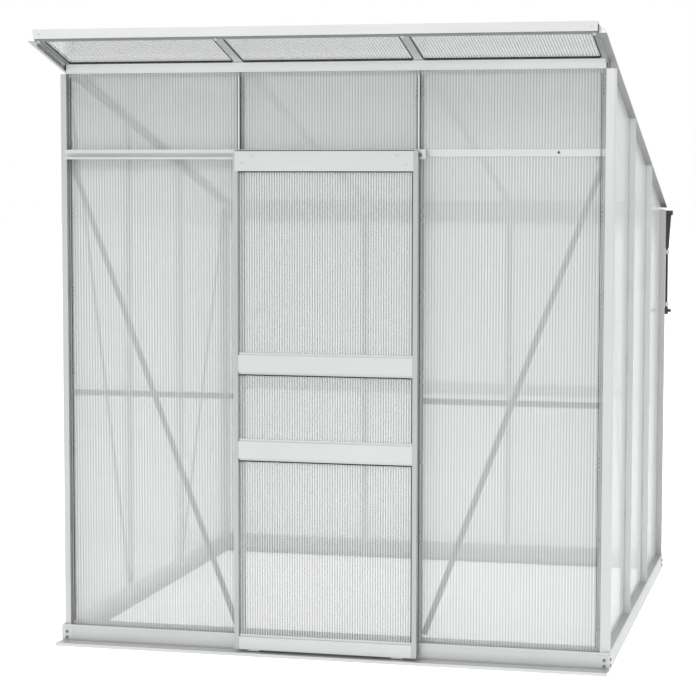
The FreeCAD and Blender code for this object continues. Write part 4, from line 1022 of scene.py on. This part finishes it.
class GREENHOUSE_OT_door_shade_strips(bpy.types.Operator):
    """Painted shade: black strips on the door's sheets, below the cover and rails and beside the
    right stile, where these shade the sheets
    """
    bl_idname = "greenhouse.door_seals"
    bl_label = "Door shade strips"

    def execute(self, context):
        gap, deep, tall, wide = 0.0002, 0.0045, 0.0036, 0.0032
        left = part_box("door_stile_left")[1].x + 2 * gap
        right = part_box("door_stile_right")[0].x - 2 * gap
        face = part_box("door_panel_upper")[0].y - gap
        rails = ("door_head", "door_rail_upper", "door_rail_lower", "door_bottom_rail")
        strips = []
        for above, below in zip(rails, rails[1:]):
            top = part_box(above)[0].z - gap
            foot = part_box(below)[1].z + gap
            strips.append(block((left, face - deep, top - tall), (right, face, top)))
            strips.append(block((right - wide, face - deep, foot), (right, face, top - tall - gap)))
        low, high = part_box("door_head")
        front, rear, over = 0.001, 0.005, 0.0025
        strips.append(block((low.x, low.y + front, high.z), (high.x, low.y + rear, high.z + over)))
        # Painted shade: the strips take the black rubber finish to stand for the shade under the
        # rails and beside the stile
        dress(eased(strips, "door_seals"), "door", finish("hose_rubber"))
        return {"FINISHED"}


# Drain
def hose_clamp(foot, tall, radius):
    """Band round the hose, rolled at its edges, with a lug and its screw."""
    slip, ease, lug_out = 0.0004, 0.0004, 0.0027
    deselect()
    bpy.ops.mesh.primitive_cylinder_add(
        vertices=40, radius=radius + slip, depth=tall, end_fill_type="NOTHING",
        location=foot + Vector((0.0, 0.0, tall / 2)))
    band = settle(bpy.context.active_object)
    wall = band.modifiers.new("wall", "SOLIDIFY")
    wall.thickness = 0.0012
    wall.offset = 1.0
    edge = band.modifiers.new("edge", "BEVEL")
    edge.width = ease
    edge.segments = 2
    select_only(band)
    for modifier in ("wall", "edge"):
        bpy.ops.object.modifier_apply(modifier=modifier)
    half = Vector((0.0016, 0.0012, tall / 2))
    middle = foot + Vector((radius + lug_out, 0.0, tall / 2))
    lug = ease_edges(block(middle - half, middle + half), ease)
    screw = nut_and_end(across_flats=0.0034, tall=0.0012, shank_radius=0.001, past=0.0008)
    place(screw, facing(middle - Vector((0.0, half.y, 0.0)), FORWARD))
    return joined([band, lug, screw], "hose_clamp")


class GREENHOUSE_OT_drain_hose(bpy.types.Operator):
    """Drain hose that hangs from the outlet, with its two clamps"""
    bl_idname = "greenhouse.drain_hose"
    bl_label = "Drain hose"

    def execute(self, context):
        low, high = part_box("drain_hose")
        middle = (low + high) / 2
        radius = (high.x - low.x) / 2
        clamps = []
        for corners in solids_of("hose_clamps"):
            foot, top = span(corners)
            clamps.append(hose_clamp(Vector((middle.x, middle.y, foot.z)), top.z - foot.z, radius))
        bands = joined(clamps, "hose_clamp_bands")
        dress(bands, "frame", finish("bright_zinc_steel"), "hose_clamps")

        levels = [high.z + (low.z - high.z) * step / 5 for step in range(6)]
        points = [(middle.x, middle.y, level) for level in levels]
        hose = tube_along("hanging_hose", points, radius, steps=4, roundness=6)
        dress(hose, "frame", finish("hose_rubber"), "drain_hose")
        return {"FINISHED"}


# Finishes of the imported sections
def painted_light_share_of(node):
    """Share of painted light and shade in the metal's brightness for a section, by the start of its
    node's name.
    """
    for start, share in PAINTED_LIGHT_SHARES:
        if node.startswith(start):
            return share
    return 1.0


class GREENHOUSE_OT_section_finishes(bpy.types.Operator):
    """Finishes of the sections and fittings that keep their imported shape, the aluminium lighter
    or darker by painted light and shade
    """
    bl_idname = "greenhouse.section_finishes"
    bl_label = "Section finishes"

    def execute(self, context):
        for row in frame["record"]["subparts"]:
            node = row["node"]
            if row["material_slot"] == "aluminium":
                low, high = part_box(node)
                sides = [high[axis] - low[axis] for axis in range(3)]
                # Painted light and shade: the section's share makes its aluminium lighter or darker
                material = extruded_aluminium(sides.index(max(sides)), painted_light_share_of(node))
            elif node == "base_corner_bolts":
                material = finish("dull_zinc_steel")
            else:
                material = finish(SLOT_FINISHES[row["material_slot"]])
            solid = frame["nodes"][node]
            solid.data.materials.clear()
            solid.data.materials.append(material)
        return {"FINISHED"}


# Stage
def stage_floor():
    """Pale floor that keeps a soft shadow and fades into the backdrop."""
    deselect()
    bpy.ops.mesh.primitive_plane_add(size=120.0, location=(0.0, 0.0, 0.0))
    floor = bpy.context.active_object
    floor.name = "studio_floor"
    material, tree, shader = start_material("studio_floor")
    shader.inputs["Base Color"].default_value = (0.86, 0.86, 0.86, 1.0)
    shader.inputs["Roughness"].default_value = 0.9
    shader.inputs["Specular IOR Level"].default_value = 0.1
    glow = tree.nodes.new("ShaderNodeEmission")
    glow.inputs["Strength"].default_value = 0.62
    both = tree.nodes.new("ShaderNodeAddShader")
    tree.links.new(shader.outputs["BSDF"], both.inputs[0])
    tree.links.new(glow.outputs["Emission"], both.inputs[1])
    choice = tree.nodes.new("ShaderNodeMixShader")
    tree.links.new(seen_ray(tree), choice.inputs["Fac"])
    tree.links.new(shader.outputs["BSDF"], choice.inputs[1])
    tree.links.new(both.outputs["Shader"], choice.inputs[2])
    tree.links.new(choice.outputs["Shader"], tree.nodes["Material Output"].inputs["Surface"])
    floor.data.materials.append(material)


def seen_ray(tree):
    """1 for the rays that show the background: camera, mirror and see-through rays."""
    ray = tree.nodes.new("ShaderNodeLightPath").outputs
    either = calculate(tree, "MAXIMUM", ray["Is Camera Ray"], ray["Is Glossy Ray"])
    return calculate(tree, "MAXIMUM", either, ray["Is Transmission Ray"])


def stage_sky(strength):
    world = bpy.data.worlds.new("studio")
    bpy.context.scene.world = world
    world.use_nodes = True
    tree = world.node_tree
    light = tree.nodes["Background"]
    light.inputs["Color"].default_value = (1.0, 1.0, 1.0, 1.0)
    light.inputs["Strength"].default_value = strength
    backdrop = tree.nodes.new("ShaderNodeBackground")
    backdrop.inputs["Color"].default_value = (1.0, 1.0, 1.0, 1.0)
    backdrop.inputs["Strength"].default_value = 1.0
    choice = tree.nodes.new("ShaderNodeMixShader")
    tree.links.new(seen_ray(tree), choice.inputs["Fac"])
    tree.links.new(light.outputs["Background"], choice.inputs[1])
    tree.links.new(backdrop.outputs["Background"], choice.inputs[2])
    tree.links.new(choice.outputs["Shader"], tree.nodes["World Output"].inputs["Surface"])


def area_lamp(name, where, target, size, power):
    deselect()
    bpy.ops.object.light_add(type="AREA", location=where)
    lamp = bpy.context.active_object
    lamp.name = name
    lamp.data.shape = "SQUARE"
    lamp.data.size = size
    lamp.data.energy = power
    aim = Vector(target) - Vector(where)
    lamp.rotation_euler = aim.to_track_quat("-Z", "Y").to_euler()
    return lamp


class GREENHOUSE_OT_stage(bpy.types.Operator):
    """Floor, backdrop, soft studio light and the camera"""
    bl_idname = "greenhouse.stage"
    bl_label = "Stage"

    def execute(self, context):
        props = context.scene.greenhouse_stage
        scene = context.scene
        scene.view_settings.view_transform = "Standard"
        scene.cycles.transparent_max_bounces = 64
        stage_floor()
        stage_sky(props.sky_strength)
        area_lamp("key_lamp", (-2.5, -6.0, 7.5), (0.0, 0.0, 1.0), 4.0, props.key_power)
        area_lamp("fill_lamp", (7.0, -2.0, 5.0), (0.5, 0.0, 1.0), 4.0, props.fill_power)
        glow = area_lamp("inner_lamp", (0.0, 0.0, 0.04), (0.0, 0.0, 1.0), 1.7, props.inner_power)
        glow.visible_camera = False
        glow.visible_glossy = False
        deselect()
        bpy.ops.object.camera_add(location=props.camera_place, rotation=props.camera_turn)
        camera = context.active_object
        camera.name = "studio_camera"
        camera.data.sensor_width = 36.0
        camera.data.lens = props.camera_lens
        camera.data.clip_end = 300.0
        scene.camera = camera
        return {"FINISHED"}


class GREENHOUSE_PT_sidebar(bpy.types.Panel):
    """Settings and building steps of the greenhouse"""
    bl_idname = "GREENHOUSE_PT_sidebar"
    bl_label = "Greenhouse"
    bl_space_type = "VIEW_3D"
    bl_region_type = "UI"
    bl_category = "Greenhouse"

    def draw(self, context):
        scene = context.scene
        for title, group in (
            ("Finish", scene.greenhouse_finish),
            ("Sheets", scene.greenhouse_sheets),
            ("Clips", scene.greenhouse_clips),
            ("Stage", scene.greenhouse_stage),
        ):
            box = self.layout.box()
            box.label(text=title)
            for prop in group.__annotations__:
                box.prop(group, prop)
        for step in STEPS:
            self.layout.operator(step.bl_idname)


STEPS = (
    GREENHOUSE_OT_stage,
    GREENHOUSE_OT_section_finishes,
    GREENHOUSE_OT_wall_sheets,
    GREENHOUSE_OT_door_sheets,
    GREENHOUSE_OT_roof_sheets,
    GREENHOUSE_OT_wire_clips,
    GREENHOUSE_OT_fasteners,
    GREENHOUSE_OT_roof_shade_strips,
    GREENHOUSE_OT_fin_highlight_caps,
    GREENHOUSE_OT_gable_ends,
    GREENHOUSE_OT_wall_shade_strips,
    GREENHOUSE_OT_door_shade_strips,
    GREENHOUSE_OT_drain_hose,
)
SETTINGS = (
    (GreenhouseFinish, "greenhouse_finish"),
    (GreenhouseSheets, "greenhouse_sheets"),
    (GreenhouseClips, "greenhouse_clips"),
    (GreenhouseStage, "greenhouse_stage"),
)


def register():
    for group, name in SETTINGS:
        bpy.utils.register_class(group)
        setattr(bpy.types.Scene, name, PointerProperty(type=group))
    for step in STEPS:
        bpy.utils.register_class(step)
    bpy.utils.register_class(GREENHOUSE_PT_sidebar)


def unregister():
    bpy.utils.unregister_class(GREENHOUSE_PT_sidebar)
    for step in reversed(STEPS):
        bpy.utils.unregister_class(step)
    for group, name in reversed(SETTINGS):
        delattr(bpy.types.Scene, name)
        bpy.utils.unregister_class(group)


def main():
    register()
    for step in STEPS:
        family, name = step.bl_idname.split(".")
        getattr(getattr(bpy.ops, family), name)()


if __name__ == "__main__":
    main()
